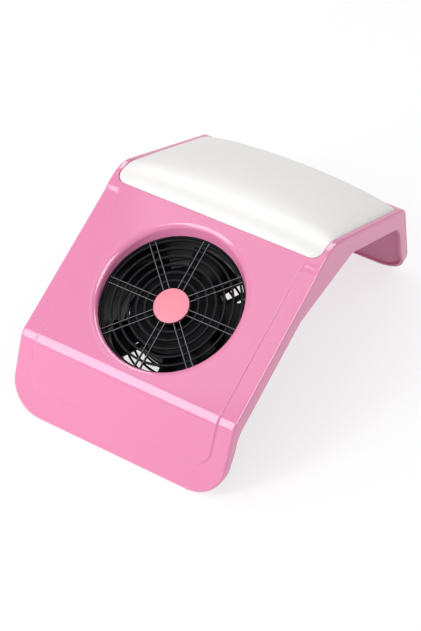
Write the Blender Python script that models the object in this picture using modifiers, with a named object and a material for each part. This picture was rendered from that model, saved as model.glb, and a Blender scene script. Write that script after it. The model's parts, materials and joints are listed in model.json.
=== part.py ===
"""Nail dust collector: a bent moulded shell on an apron and a rear leg, with a
120 mm axial fan, 38 mm deep, hung under its sloped panel and a padded hand rest over its crest.

The object stands on z = 0, on four rubber feet. X runs across it, Y from the apron to the rear leg.
All lengths are in metres.
"""
import math

import bmesh
import bpy
from mathutils import Matrix, Vector

for old_object in list(bpy.data.objects):
    bpy.data.objects.remove(old_object, do_unlink=True)

# Overall shell. Heights and setbacks are of the sharp corners of its side view.
WIDTH = 0.200
DEPTH = 0.3225
CREASE_HEIGHT = 0.0644
CREASE_SETBACK = 0.0224
CREST_HEIGHT = 0.1412
CREST_SETBACK = 0.168
REAR_HEIGHT = 0.0857
REAR_INSET = 0.0216
WALL = 0.0028
CREASE_RADIUS = 0.014
CREST_RADIUS = 0.024
REAR_RADIUS = 0.011
FOOT_CORNER_RADIUS = 0.030

# Rubber feet under small shelves inside the apron and the leg. They lift the shell.
FOOT_RADIUS = 0.0050
FOOT_PROUD = 0.0008
FOOT_POCKET = 0.0014
FRONT_FOOT_INSET = 0.040
REAR_FOOT_INSET = 0.070
FOOT_SHELF = 0.0030
FOOT_SHELF_WIDTH = 0.0140
FOOT_SHELF_REACH = 0.0150

# Side skirts, measured square to the surface that they hang from.
SKIRT_DEPTH = 0.0172
LEG_SKIRT_DEPTH = 0.0126
SKIRT_KNEE_SETBACK = 0.1205
SKIRT_ARCH_SETBACK = 0.2035
APRON_SKIRT_DEPTH = 0.0125
SKIRT_TAPER_HEIGHT = 0.036
ARCH_RADIUS = 0.014
KNEE_RADIUS = 0.006
APRON_SKIRT_RADIUS = 0.016

# Raised centre panel between the two side strips.
STRIP_WIDTH = 0.0147
STRIP_DROP = 0.0012
STRIP_TOP = 0.1450
STRIP_RAMP = 0.0095
STRIP_CORNER_RADIUS = 0.009
PANEL_FOOT = 0.0255
PANEL_CORNER_RADIUS = 0.015

# Clearances.
GAP = 0.0003
OVERRUN = 0.006
OVERLAP = 0.0010
NUDGE = 0.00004
WELD_DISTANCE = 0.000001

# Fan well in the panel. Its wall runs straight down, as it left the mould.
WELL_RADIUS = 0.0604
WELL_CENTRE = 0.0764
WELL_DEPTH = 0.0095
WELL_LIP_RADIUS = 0.0055

# Padded rest and its tray.
TRAY_START = 0.1475
TRAY_REAR_MARGIN = 0.0105
TRAY_DEPTH = 0.0050
RAIL_WIDTH = 0.0047
TRAY_CORNER_RADIUS = 0.009
BASE_THICKNESS = 0.0030
BASE_MARGIN = 0.0030
CUSHION_CROWN = 0.0087
CUSHION_SIDE_PULL = 0.0008
CUSHION_EDGE_HEIGHT = 0.0010
CUSHION_SEAT_GAP = 0.0006
PAD_SCREW_INSET = 0.030
PAD_SCREW_SHARES = (0.243, 0.764)
PAD_SCREW_RADIUS = 0.0015
PAD_SCREW_HEAD_RADIUS = 0.0028
PAD_SCREW_HEAD_HEIGHT = 0.0018
PAD_SCREW_BITE = 0.0022

# Axial fan.
FAN_SIZE = 0.120
FAN_THICKNESS = 0.038
FAN_HOLE_SPACING = 0.105
FAN_HOLE_RADIUS = 0.00215
FAN_CORNER_RADIUS = 0.004
FAN_FLANGE = 0.0050
FAN_BORE_RADIUS = 0.0585
FAN_BARREL_WALL = 0.0013
MOTOR_BASE_RADIUS = 0.0384
MOTOR_BASE_THICKNESS = 0.0030
STRUT_WIDTH = 0.0042
STRUT_COUNT = 4
STRUT_ROTATION = math.radians(51)
HUB_RADIUS = 0.0382
HUB_WALL = 0.0022
HUB_TOP_CLEARANCE = 0.0080
HUB_BOTTOM_CLEARANCE = 0.0022
HUB_TOP_ROUNDING = 0.0030
BLADE_COUNT = 5
BLADE_TIP_CLEARANCE = 0.0014
BLADE_THICKNESS = 0.0018
BLADE_ROOT_HEIGHT = 0.0215
BLADE_TIP_HEIGHT = 0.0205
BLADE_TURN = math.radians(44.6)
BLADE_CAMBER = 0.0020
BLADE_ROTATION = math.radians(8.4)
SHAFT_RADIUS = 0.0020
BEARING_RADIUS = 0.0055
BEARING_WIDTH = 0.0050
BEARING_TUBE_WALL = 0.0012
YOKE_WALL = 0.0012
MAGNET_THICKNESS = 0.0025
MAGNET_LENGTH = 0.0180
AIR_GAP = 0.0005
STATOR_HEIGHT = 0.0100
STATOR_RING = 0.0060
POLE_WIDTH = 0.0080
POLE_SHOE_THICKNESS = 0.0028
POLE_SHOE_ANGLE = math.radians(72)
POLE_COUNT = 4
COIL_THICKNESS = 0.0045
BOARD_THICKNESS = 0.0016
CLIP_THICKNESS = 0.0006
CLIP_RADIUS = 0.0040
GROOVE_DEPTH = 0.00035

# Guard over the fan.
GUARD_FLANGE = 0.0024
GUARD_FLANGE_RADIUS = 0.0660
GUARD_RIM_RADIUS = 0.0592
GUARD_RING_PITCH = 0.00707
GUARD_RING_COUNT = 6
GUARD_RING_WIDTH = 0.0018
GUARD_RING_STEP = 0.0004
SPOKE_COUNT = 8
SPOKE_PAIR_SPACING = 0.0050
SPOKE_WIDTH = 0.0011
BADGE_RADIUS = 0.0148
BADGE_THICKNESS = 0.0012
BADGE_EDGE = 0.0004
GUARD_HUB_MARGIN = 0.0008

# Rear finger grille, and the collar ring under it that a dust bag's elastic hem grips.
GRILLE_THICKNESS = 0.0024
COLLAR_RADIUS = 0.0580
COLLAR_WALL = 0.0018
COLLAR_LENGTH = 0.0120
COLLAR_BEAD = 0.0016
COLLAR_BEAD_LENGTH = 0.0022
GRILLE_RING_FIRST = 0.0395
GRILLE_RING_PITCH = 0.0060
GRILLE_RING_COUNT = 3
GRILLE_BAR_WIDTH = 0.0018
GRILLE_BAR_COUNT = 6

# Fan screws and the shell's bosses that they enter.
BOSS_RADIUS = 0.0045
BOSS_HOLE_RADIUS = 0.00205
FAN_SCREW_RADIUS = 0.00175
FAN_SCREW_HEAD_RADIUS = 0.0036
FAN_SCREW_HEAD_HEIGHT = 0.0022
FAN_SCREW_BITE = 0.0080
SCREW_POINT = 0.0012
RECESS_WIDTH = 0.0009
RECESS_DEPTH = 0.0011
RECESS_LENGTH_SHARE = 1.15

# Rocker switch and power inlet on the rear leg.
SWITCH_INSET = 0.064
INLET_INSET = 0.036
LEG_FITTING_HEIGHT = 0.044
BEZEL_LENGTH = 0.0210
BEZEL_WIDTH = 0.0150
BEZEL_THICKNESS = 0.0016
BEZEL_CORNER = 0.0015
SWITCH_LENGTH = 0.0190
SWITCH_WIDTH = 0.0126
SWITCH_DEPTH = 0.0125
ROCKER_LENGTH = 0.0148
ROCKER_WIDTH = 0.0092
ROCKER_POCKET_DEPTH = 0.0068
ROCKER_RISE = 0.0026
ROCKER_DEPTH = 0.0042
ROCKER_THROW = math.radians(9)
ROCKER_HOLLOW = 0.0011
ROCKER_RUNNING_GAP = 0.0004
TERMINAL_WIDTH = 0.0048
TERMINAL_THICKNESS = 0.0008
TERMINAL_LENGTH = 0.0075
TERMINAL_SPACING = 0.0095
INLET_FLANGE_RADIUS = 0.0062
INLET_FLANGE_THICKNESS = 0.0016
INLET_BARREL_RADIUS = 0.0040
INLET_BORE_RADIUS = 0.00275
INLET_PIN_RADIUS = 0.0010
INLET_LENGTH = 0.0120
INLET_BORE_DEPTH = 0.0095
INLET_NUT_RADIUS = 0.0062
INLET_NUT_THICKNESS = 0.0024

# Internal leads and their saddle clips.
LEAD_RADIUS = 0.0010
LEAD_SPACING = 0.0036
LEAD_X_SHARE = 0.657
LEAD_CLEARANCE = 0.0014
SADDLE_WALL = 0.0012
SADDLE_LENGTH = 0.0060
SADDLE_EAR = 0.0030
SADDLE_EAR_THICKNESS = 0.0012
SADDLE_SHARES = (0.208, 0.486, 0.764)

# Mesh fineness.
WELL_STEPS = 48
LIP_STEPS = 4
GUARD_STEPS = 24
RING_STEPS = 32
FINE_RING_STEPS = 48
SMALL_STEPS = 12
ARC_STEPS = 5
CUSHION_ROWS = 22
CUSHION_COLUMNS = 16
LEAD_PITCH = 0.0075

HALF_WIDTH = WIDTH / 2
FRONT = -DEPTH / 2
REAR = DEPTH / 2
SWITCH_X = HALF_WIDTH - SWITCH_INSET
INLET_X = HALF_WIDTH - INLET_INSET
LEAD_X = -LEAD_X_SHARE * (HALF_WIDTH - PAD_SCREW_INSET)


def collection(name):
    made = bpy.data.collections.new(name)
    bpy.context.scene.collection.children.link(made)
    return made


PARTS = collection("nail_dust_collector")
CUTTERS = collection("cutters")


def material(name, colour, roughness, metallic=0.0):
    made = bpy.data.materials.new(name)
    made.use_nodes = True
    shader = made.node_tree.nodes["Principled BSDF"]
    shader.inputs["Base Color"].default_value = (*colour, 1.0)
    shader.inputs["Roughness"].default_value = roughness
    shader.inputs["Metallic"].default_value = metallic
    made.diffuse_color = (*colour, 1.0)
    return made


PINK_SHELL = material("pink_gloss_abs", (0.87, 0.30, 0.50), 0.14)
WHITE_LEATHERETTE = material("white_leatherette", (0.86, 0.83, 0.80), 0.50)
GREY_CARRIER = material("grey_carrier_plastic", (0.35, 0.35, 0.36), 0.60)
BLACK_GUARD = material("black_guard_plastic", (0.012, 0.012, 0.015), 0.35)
BLACK_FAN = material("black_fan_plastic", (0.010, 0.010, 0.012), 0.42)
SALMON_BADGE = material("salmon_badge", (0.90, 0.22, 0.26), 0.40)
ZINC_SCREW = material("zinc_screw", (0.62, 0.62, 0.60), 0.32, 1.0)
YOKE_STEEL = material("yoke_steel", (0.48, 0.48, 0.50), 0.38, 1.0)
MAGNET_FERRITE = material("ferrite", (0.045, 0.042, 0.04), 0.70)
LAMINATION_STEEL = material("lamination_steel", (0.30, 0.31, 0.33), 0.45, 1.0)
COPPER_WIRE = material("copper_wire", (0.72, 0.30, 0.12), 0.35, 1.0)
BOARD_GREEN = material("board_green", (0.03, 0.20, 0.08), 0.50)
BRASS = material("brass", (0.72, 0.52, 0.20), 0.30, 1.0)
BLACK_SWITCH = material("black_switch_nylon", (0.016, 0.016, 0.018), 0.38)
BLACK_RUBBER = material("black_rubber", (0.018, 0.018, 0.018), 0.75)
LEAD_BLACK = material("lead_black_sheath", (0.02, 0.02, 0.022), 0.50)
LEAD_RED = material("lead_red_sheath", (0.45, 0.02, 0.02), 0.50)


def add_object(name, mesh, finish=None, parent=None):
    """A part when it has a finish, and a cutter when it has none."""
    made = bpy.data.objects.new(name, mesh)
    if finish is None:
        CUTTERS.objects.link(made)
        made.hide_render = True
        made.display_type = "WIRE"
    else:
        PARTS.objects.link(made)
        if not mesh.materials:
            mesh.materials.append(finish)
    if parent is not None:
        made.parent = parent
    return made


def mesh_from(name, shape, smooth_angle=None):
    bmesh.ops.recalc_face_normals(shape, faces=shape.faces)
    mesh = bpy.data.meshes.new(name)
    shape.to_mesh(mesh)
    shape.free()
    if smooth_angle is not None:
        mesh.shade_smooth()
        mesh.set_sharp_from_angle(angle=smooth_angle)
    return mesh


def guide(name, origin, x_axis, y_axis, z_axis, parent=None):
    """An empty whose local axes are the ones given."""
    made = bpy.data.objects.new(name, None)
    CUTTERS.objects.link(made)
    turn = Matrix((x_axis, y_axis, z_axis)).transposed().to_4x4()
    made.matrix_world = Matrix.Translation(origin) @ turn
    made.hide_render = True
    if parent is not None:
        made.parent = parent
    return made


def cut(target, cutter, operation="DIFFERENCE"):
    step = target.modifiers.new(operation.lower() + "_" + cutter.name, "BOOLEAN")
    step.operation = operation
    step.solver = "EXACT"
    step.object = cutter


def join(target, addition):
    cut(target, addition, "UNION")


def slab(name, outline, low, high, finish=None, parent=None):
    """A flat outline in local X and Y, drawn out from low to high along Z."""
    curve = bpy.data.curves.new(name, "CURVE")
    curve.dimensions = "2D"
    curve.fill_mode = "BOTH"
    curve.extrude = (high - low) / 2
    spline = curve.splines.new("POLY")
    spline.points.add(len(outline) - 1)
    for slot, (x, y) in zip(spline.points, outline):
        slot.co = (x, y, 0, 1)
    spline.use_cyclic_u = True
    drawing = bpy.data.objects.new(name, curve)
    solid = bpy.data.meshes.new_from_object(drawing)
    shape = bmesh.new()
    shape.from_mesh(solid)
    bmesh.ops.remove_doubles(shape, verts=shape.verts, dist=WELD_DISTANCE)
    bmesh.ops.translate(shape, verts=shape.verts, vec=(0, 0, (low + high) / 2))
    bpy.data.objects.remove(drawing)
    bpy.data.meshes.remove(solid)
    return add_object(name, mesh_from(name, shape), finish, parent)


def rod(name, radius, low, high, steps, finish=None, parent=None, place=(0, 0)):
    """An upright cylinder along local Z."""
    shape = bmesh.new()
    bmesh.ops.create_cone(shape, cap_ends=True, segments=steps, radius1=radius,
                          radius2=radius, depth=high - low)
    bmesh.ops.translate(shape, verts=shape.verts, vec=(*place, (low + high) / 2))
    return add_object(name, mesh_from(name, shape, math.radians(40)), finish, parent)


def turned(name, profile, steps, finish=None, parent=None, closed=True):
    """A profile of radius and height pairs, turned about local Z by a Screw modifier.

    It is listed down its outer side. A closed profile makes a ring, and an open
    one starts and ends on the axis.
    """
    mesh = bpy.data.meshes.new(name)
    count = len(profile)
    edges = [(i, i + 1) for i in range(count - 1)]
    if closed:
        edges.append((count - 1, 0))
    mesh.from_pydata([(radius, 0, height) for radius, height in profile], edges, [])
    made = add_object(name, mesh, finish, parent)
    spin = made.modifiers.new("turn", "SCREW")
    spin.angle = math.tau
    spin.steps = steps
    spin.render_steps = steps
    spin.use_merge_vertices = True
    spin.merge_threshold = WELD_DISTANCE
    spin.use_smooth_shade = True
    return made


def ring_profile(inner, outer, low, high):
    return [(outer, high), (outer, low), (inner, low), (inner, high)]


def rounded(corners, radii, steps=ARC_STEPS, closed=False):
    """The corners of a path with an arc of the given radius at each."""
    points = []
    count = len(corners)
    for index, (corner, radius) in enumerate(zip(corners, radii)):
        here = Vector(corner)
        at_end = not closed and index in (0, count - 1)
        if radius == 0 or at_end:
            points.append(tuple(here))
            continue
        back = (Vector(corners[index - 1]) - here).normalized()
        ahead = (Vector(corners[(index + 1) % count]) - here).normalized()
        half = back.angle(ahead) / 2
        centre = here + (back + ahead).normalized() * (radius / math.sin(half))
        start = here + back * (radius / math.tan(half)) - centre
        finish = here + ahead * (radius / math.tan(half)) - centre
        turn = start.angle_signed(finish)
        for step in range(steps + 1):
            share = step / steps
            spun = Matrix.Rotation(-turn * share, 2) @ start
            points.append(tuple(centre + spun))
    return points


def crossing(point_a, along_a, point_b, along_b):
    """Where two lines of the side view meet."""
    sideways = Vector((-along_b.y, along_b.x))
    return point_a + along_a * ((point_b - point_a).dot(sideways) / along_a.dot(sideways))


# Side view of the shell, as (Y, Z) corners from the apron's foot to the leg's.
# The apron's foot lies below the raised panel, and its front is the object's front.
APRON_FOOT = Vector((FRONT - STRIP_DROP, FOOT_PROUD))
CREASE = Vector((FRONT + CREASE_SETBACK, FOOT_PROUD + CREASE_HEIGHT))
CREST = Vector((FRONT + CREST_SETBACK, FOOT_PROUD + CREST_HEIGHT))
REAR_CORNER = Vector((REAR - REAR_INSET, FOOT_PROUD + REAR_HEIGHT))
LEG_FOOT = Vector((REAR, FOOT_PROUD))
SIDE_CORNERS = [APRON_FOOT, CREASE, CREST, REAR_CORNER, LEG_FOOT]
SIDE_RADII = [0, CREASE_RADIUS, CREST_RADIUS, REAR_RADIUS, 0]
ALONG = [(b - a).normalized() for a, b in zip(SIDE_CORNERS, SIDE_CORNERS[1:])]
INWARD = [Vector((run.y, -run.x)) for run in ALONG]
SLOPE = math.atan2(ALONG[1].y, ALONG[1].x)


def inset_corners(depths):
    """The side view's corners, each stretch moved inward by its own depth."""
    starts = [corner + inward * depth
              for corner, inward, depth in zip(SIDE_CORNERS, INWARD, depths)]
    ground = Vector((1, 0))
    corners = [crossing(starts[0], ALONG[0], APRON_FOOT, ground)]
    for index in range(len(starts) - 1):
        corners.append(crossing(starts[index], ALONG[index],
                                starts[index + 1], ALONG[index + 1]))
    corners.append(crossing(starts[-1], ALONG[-1], LEG_FOOT, ground))
    return corners


def side_path(depth, extend=0.0):
    """The rounded side view moved inward by depth, its feet run on below the floor."""
    corners = inset_corners([depth] * len(ALONG))
    corners[0] = corners[0] - ALONG[0] * extend
    corners[-1] = corners[-1] + ALONG[-1] * extend
    radii = [0] + [radius - depth for radius in SIDE_RADII[1:-1]] + [0]
    return rounded(corners, radii)


def surface_frame(name, stretch, origin):
    """A guide on the shell: local Y runs up the stretch, local Z out of it."""
    up = ALONG[stretch]
    out = -INWARD[stretch]
    x_axis = Vector((1, 0, 0))
    if stretch == len(ALONG) - 1:
        up = -up
        x_axis = -x_axis
    return guide(name, Vector((0, *origin)), x_axis, Vector((0, *up)), Vector((0, *out)))


SIDE = guide("side_guide", Vector((0, 0, 0)), Vector((0, 1, 0)), Vector((0, 0, 1)),
             Vector((1, 0, 0)))
APRON = surface_frame("apron_guide", 0, APRON_FOOT)
PANEL = surface_frame("panel_guide", 1, CREASE)
RAIL = surface_frame("rail_guide", 2, CREST)
RAIL_LENGTH = (REAR_CORNER - CREST).length
LEG = surface_frame("leg_guide", 3, LEG_FOOT)

# The fan's axis stands square to the panel, through the foot of the leaning well.
FAN_CENTRE = WELL_CENTRE - (WELL_DEPTH + GAP) * math.tan(SLOPE)
FAN_ORIGIN = CREASE + ALONG[1] * FAN_CENTRE
FAN = surface_frame("fan_guide", 1, FAN_ORIGIN)
WELL = surface_frame("well_guide", 1, CREASE + ALONG[1] * WELL_CENTRE)
SPIN = surface_frame("fan_spin_axis", 1, FAN_ORIGIN)

# Levels along the fan's axis, counted down from the panel's surface.
GUARD_FLANGE_TOP = -(WELL_DEPTH + GAP)
GUARD_FLANGE_BOTTOM = GUARD_FLANGE_TOP - GUARD_FLANGE
BADGE_TOP = GUARD_FLANGE_TOP + GUARD_RING_STEP
FRAME_TOP = GUARD_FLANGE_BOTTOM - GAP
FRAME_BOTTOM = FRAME_TOP - FAN_THICKNESS
BASE_TOP = FRAME_BOTTOM + MOTOR_BASE_THICKNESS
GRILLE_TOP = FRAME_BOTTOM - GAP
GRILLE_BOTTOM = GRILLE_TOP - GRILLE_THICKNESS
COLLAR_BOTTOM = GRILLE_BOTTOM - COLLAR_LENGTH
HUB_TOP = FRAME_TOP - HUB_TOP_CLEARANCE
BOARD_BOTTOM = BASE_TOP + GAP
BOARD_TOP = BOARD_BOTTOM + BOARD_THICKNESS
HUB_BOTTOM = BOARD_TOP + HUB_BOTTOM_CLEARANCE
FAN_CORNERS = [(sx * FAN_HOLE_SPACING / 2, sy * FAN_HOLE_SPACING / 2)
               for sx in (-1, 1) for sy in (-1, 1)]
TUBE_BORE = BEARING_RADIUS + GAP
TUBE_RADIUS = TUBE_BORE + BEARING_TUBE_WALL


def skirt_edge():
    """The skirts' lower edge in the side view, from the leg's foot to the apron's."""
    rail_line = CREST + INWARD[2] * SKIRT_DEPTH
    slope_line = CREASE + INWARD[1] * SKIRT_DEPTH
    leg_line = REAR_CORNER + INWARD[3] * LEG_SKIRT_DEPTH
    apron_line = APRON_FOOT + INWARD[0] * APRON_SKIRT_DEPTH
    level = Vector((1, 0))
    taper = Vector((FRONT, FOOT_PROUD + SKIRT_TAPER_HEIGHT))
    leg_inner_foot = crossing(LEG_FOOT + INWARD[3] * WALL, ALONG[3], LEG_FOOT, level)
    apron_inner_foot = crossing(APRON_FOOT + INWARD[0] * WALL, ALONG[0], LEG_FOOT, level)
    leg_taper = crossing(leg_line, ALONG[3], taper, level)
    apron_taper = crossing(apron_line, ALONG[0], taper, level)
    arch_corner = crossing(rail_line, ALONG[2], leg_line, ALONG[3])
    upright = Vector((0, 1))
    arch_start = crossing(rail_line, ALONG[2], Vector((FRONT + SKIRT_ARCH_SETBACK, 0)), upright)
    knee = crossing(slope_line, ALONG[1], Vector((FRONT + SKIRT_KNEE_SETBACK, 0)), upright)
    front_corner = crossing(slope_line, ALONG[1], apron_line, ALONG[0])
    corners = [leg_inner_foot, leg_taper, arch_corner, arch_start, knee, front_corner,
               apron_taper, apron_inner_foot]
    radii = [0, APRON_SKIRT_RADIUS, ARCH_RADIUS, KNEE_RADIUS, KNEE_RADIUS,
             APRON_SKIRT_RADIUS, APRON_SKIRT_RADIUS, 0]
    return rounded(corners, radii, steps=4)


def foot_corner_cutter(name, frame, side, radius, edge, deep):
    """The waste outside one rounded lower corner of the apron or the leg."""
    inner = edge - radius
    arc = []
    steps = 2 * ARC_STEPS
    for step in range(steps + 1):
        angle = math.pi / 2 * step / steps
        arc.append((side * (inner + radius * math.sin(angle)),
                    FOOT_CORNER_RADIUS - radius * math.cos(angle)))
    arc.append((side * (edge + OVERRUN), FOOT_CORNER_RADIUS))
    arc.append((side * (edge + OVERRUN), -OVERRUN))
    arc.append((side * inner, -OVERRUN))
    return slab(name, arc, -deep, OVERRUN, parent=frame)


def shell_cavity():
    """The hollow under the shell, which leaves the walls and the side skirts."""
    outline = side_path(WALL, extend=OVERRUN)
    cavity = slab("cavity", outline, -(HALF_WIDTH - WALL), HALF_WIDTH - WALL, parent=SIDE)
    for frame, label in ((APRON, "apron"), (LEG, "leg")):
        for side, word in ((-1, "left"), (1, "right")):
            corner = foot_corner_cutter(f"inner_{label}_{word}_corner", frame, side,
                                        FOOT_CORNER_RADIUS - WALL, HALF_WIDTH - WALL,
                                        FOOT_CORNER_RADIUS)
            cut(cavity, corner)
    tray_floor = slab("tray_floor_block", tray_outline(-OVERLAP, TRAY_DEPTH + WALL, WALL),
                      -HALF_WIDTH, HALF_WIDTH, parent=SIDE)
    cut(cavity, tray_floor)
    return cavity


def rail_path(start, depth, rear_margin):
    """The hand rest's stretch of the side view, from a place on the panel to the rear."""
    first = CREASE + ALONG[1] * start + INWARD[1] * depth
    corner = inset_corners([depth] * len(ALONG))[2]
    last = REAR_CORNER - ALONG[2] * rear_margin + INWARD[2] * depth
    return rounded([first, corner, last], [0, CREST_RADIUS - depth, 0])


def tray_outline(top_depth, floor_depth, grow):
    """A band of the side view under the hand rest, between two depths."""
    top = rail_path(TRAY_START - grow, top_depth, TRAY_REAR_MARGIN - grow)
    floor = rail_path(TRAY_START - grow, floor_depth, TRAY_REAR_MARGIN - grow)
    return top + floor[::-1]


def tray_cutter():
    half = HALF_WIDTH - RAIL_WIDTH
    tray = slab("tray", tray_outline(-OVERRUN, TRAY_DEPTH, 0), -half, half, parent=SIDE)
    for side, word in ((-1, "left"), (1, "right")):
        r = TRAY_CORNER_RADIUS
        arc = [(side * (half - r + r * math.sin(math.pi / 2 * step / ARC_STEPS)),
                TRAY_START + r - r * math.cos(math.pi / 2 * step / ARC_STEPS))
               for step in range(ARC_STEPS + 1)]
        arc += [(side * (half + OVERRUN), TRAY_START + r),
                (side * (half + OVERRUN), TRAY_START - OVERRUN),
                (side * (half - r), TRAY_START - OVERRUN)]
        cut(tray, slab(f"tray_{word}_corner", arc, -TRAY_DEPTH - OVERRUN, 2 * OVERRUN, parent=PANEL))
    return tray


def strip_cutter():
    """What lies above the side strips and the apron's foot, round the raised panel."""
    low = inset_corners([STRIP_DROP] * len(ALONG))
    floor_radii = [0, CREASE_RADIUS - STRIP_DROP, 0]
    ramp_start = CREASE + ALONG[1] * (STRIP_TOP - STRIP_RAMP) + INWARD[1] * STRIP_DROP
    floor = rounded([low[0] - ALONG[0] * OVERRUN, low[1], ramp_start], floor_radii)
    ramp_top = CREASE + ALONG[1] * (STRIP_TOP - OVERLAP / 2)
    ramp_end = ramp_top + (ramp_top - ramp_start) * (OVERRUN / STRIP_RAMP)
    high = inset_corners([-OVERRUN] * len(ALONG))
    outline = floor + [ramp_end, high[1], high[0] - ALONG[0] * OVERRUN]
    strips = slab("strips", outline, -HALF_WIDTH - OVERRUN, HALF_WIDTH + OVERRUN, parent=SIDE)
    half = HALF_WIDTH - STRIP_WIDTH
    flare = STRIP_CORNER_RADIUS
    on_slope = [(-half, -OVERRUN), (half, -OVERRUN)]
    right = rounded([(half, -OVERRUN), (half, STRIP_TOP), (HALF_WIDTH + 2 * OVERRUN, STRIP_TOP)],
                    [0, flare, 0])
    left = [(-x, y) for x, y in right][::-1]
    top = STRIP_TOP + 3 * OVERRUN
    on_slope = right + [(HALF_WIDTH + 2 * OVERRUN, top), (-HALF_WIDTH - 2 * OVERRUN, top)] + left
    keep = slab("panel_keep", on_slope, -2 * OVERRUN, 3 * OVERRUN, parent=PANEL)
    apron_length = (CREASE - APRON_FOOT).length
    corners = [(-half, PANEL_FOOT), (half, PANEL_FOOT),
               (half, apron_length + OVERRUN), (-half, apron_length + OVERRUN)]
    radii = [PANEL_CORNER_RADIUS, PANEL_CORNER_RADIUS, 0, 0]
    on_apron = slab("apron_keep", rounded(corners, radii, closed=True),
                    -2 * OVERRUN, 3 * OVERRUN, parent=APRON)
    cut(strips, keep)
    cut(strips, on_apron)
    return strips


def well_body(name, radius, lip_radius, sink, lip_top, floor):
    """The fan well's lofted form: a lip rolled from the panel into a plumb wall.

    The wall leans against the panel's normal, so the lip is wide at the front
    of the well and narrow at its back.
    """
    draw = Vector((0, -math.sin(SLOPE), -math.cos(SLOPE)))
    rows = []
    angles = [math.tau * step / WELL_STEPS for step in range(WELL_STEPS)]

    def roll(angle):
        lean = math.sin(SLOPE) * math.sin(angle)
        size = math.hypot(math.cos(SLOPE), lean)
        return lip_radius * math.tan(math.acos(lean / size) / 2)

    outward = [Vector((math.cos(angle), math.sin(angle), 0)) for angle in angles]
    base = Vector((0, 0, -sink + NUDGE))
    shift = draw * (sink / math.cos(SLOPE)) - Vector((0, 0, -sink))
    rows.append([way * (radius + roll(angle)) + shift + Vector((0, 0, lip_top))
                 for way, angle in zip(outward, angles)])
    for step in range(LIP_STEPS + 1):
        turn = math.pi / 2 * step / LIP_STEPS
        row = []
        for way, angle in zip(outward, angles):
            reach = roll(angle)
            row.append(base + shift + way * (radius + reach * (1 - math.sin(turn)))
                       + draw * (reach * (1 - math.cos(turn))))
        rows.append(row)
    rows.append([way * radius + draw * (floor / math.cos(SLOPE)) for way in outward])
    shape = bmesh.new()
    made = [[shape.verts.new(point) for point in row] for row in rows]
    for upper, lower in zip(made, made[1:]):
        for index in range(WELL_STEPS):
            ahead = (index + 1) % WELL_STEPS
            shape.faces.new((upper[index], upper[ahead], lower[ahead], lower[index]))
    shape.faces.new(made[0][::-1])
    shape.faces.new(made[-1])
    return add_object(name, mesh_from(name, shape), parent=WELL)


def top_shell():
    """The moulded shell: apron, panel, hand rest and rear leg bent from one skin."""
    outline = side_path(0) + skirt_edge()
    shell = slab("top_shell", outline, -HALF_WIDTH, HALF_WIDTH, PINK_SHELL, SIDE)
    for frame, label in ((APRON, "apron"), (LEG, "leg")):
        for side, word in ((-1, "left"), (1, "right")):
            corner = foot_corner_cutter(f"outer_{label}_{word}_corner", frame, side,
                                        FOOT_CORNER_RADIUS, HALF_WIDTH,
                                        FOOT_CORNER_RADIUS)
            cut(shell, corner)
    cut(shell, strip_cutter())
    cut(shell, shell_cavity())
    cut(shell, tray_cutter())
    for label, side, place in foot_places():
        shelf = slab(f"shelf_{label}", shelf_outline(side, place), FOOT_PROUD + NUDGE,
                     FOOT_PROUD + FOOT_SHELF)
        join(shell, shelf)
        cut(shell, rod(f"foot_pocket_{label}", FOOT_RADIUS + GAP, FOOT_PROUD - OVERRUN,
                       FOOT_PROUD + FOOT_POCKET, SMALL_STEPS, place=place))
    join(shell, well_body("well_plug", WELL_RADIUS + WALL, WELL_LIP_RADIUS - WALL, WALL,
                          -OVERLAP, WELL_DEPTH))
    for index, place in enumerate(FAN_CORNERS, 1):
        boss = rod(f"boss_{index}", BOSS_RADIUS, FRAME_TOP + GAP, -OVERLAP, SMALL_STEPS,
                   parent=FAN, place=place)
        join(shell, boss)
    cut(shell, well_body("well_mouth", WELL_RADIUS, WELL_LIP_RADIUS, 0, OVERRUN,
                         WELL_DEPTH + OVERRUN))
    for index, place in enumerate(FAN_CORNERS, 1):
        pilot = rod(f"boss_pilot_{index}", BOSS_HOLE_RADIUS, FRAME_TOP - OVERRUN,
                    FRAME_TOP + FAN_SCREW_BITE + OVERLAP, SMALL_STEPS, parent=FAN, place=place)
        cut(shell, pilot)
    for index, place in enumerate(pad_screw_places(), 1):
        hole = rod(f"pad_hole_{index}", PAD_SCREW_RADIUS + GAP, -TRAY_DEPTH - WALL - OVERRUN,
                   0, SMALL_STEPS, parent=RAIL, place=place)
        cut(shell, hole)
    window = slab("switch_window", box_outline(SWITCH_LENGTH / 2 + GAP, SWITCH_WIDTH / 2 + GAP,
                                               SWITCH_X, LEG_FITTING_HEIGHT),
                  -WALL - OVERRUN, OVERRUN, parent=LEG)
    cut(shell, window)
    inlet_hole = rod("inlet_hole", INLET_BARREL_RADIUS + GAP, -WALL - OVERRUN, OVERRUN,
                     SMALL_STEPS, parent=LEG, place=(INLET_X, LEG_FITTING_HEIGHT))
    cut(shell, inlet_hole)
    return shell


def foot_places():
    """Each foot's name, the way to its wall, and its place in plan."""
    inset = WALL + FOOT_SHELF_REACH / 2
    return [(f"{row}_{word}", way, (side * (HALF_WIDTH - side_inset), way * (REAR - inset)))
            for row, way, side_inset in (("front", -1, FRONT_FOOT_INSET),
                                         ("rear", 1, REAR_FOOT_INSET))
            for word, side in (("left", -1), ("right", 1))]


def shelf_outline(way, place):
    """A foot's shelf in plan, from inside the wall's thickness inward."""
    x, y = place
    half = FOOT_SHELF_WIDTH / 2
    wall_side = way * (REAR - WALL / 2)
    free_side = y - way * FOOT_SHELF_REACH / 2
    return [(x - half, wall_side), (x + half, wall_side), (x + half, free_side),
            (x - half, free_side)]


def feet():
    for label, _, place in foot_places():
        rod(f"foot_{label}", FOOT_RADIUS, 0, FOOT_PROUD + FOOT_POCKET - GAP, SMALL_STEPS,
            BLACK_RUBBER, place=place)


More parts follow.
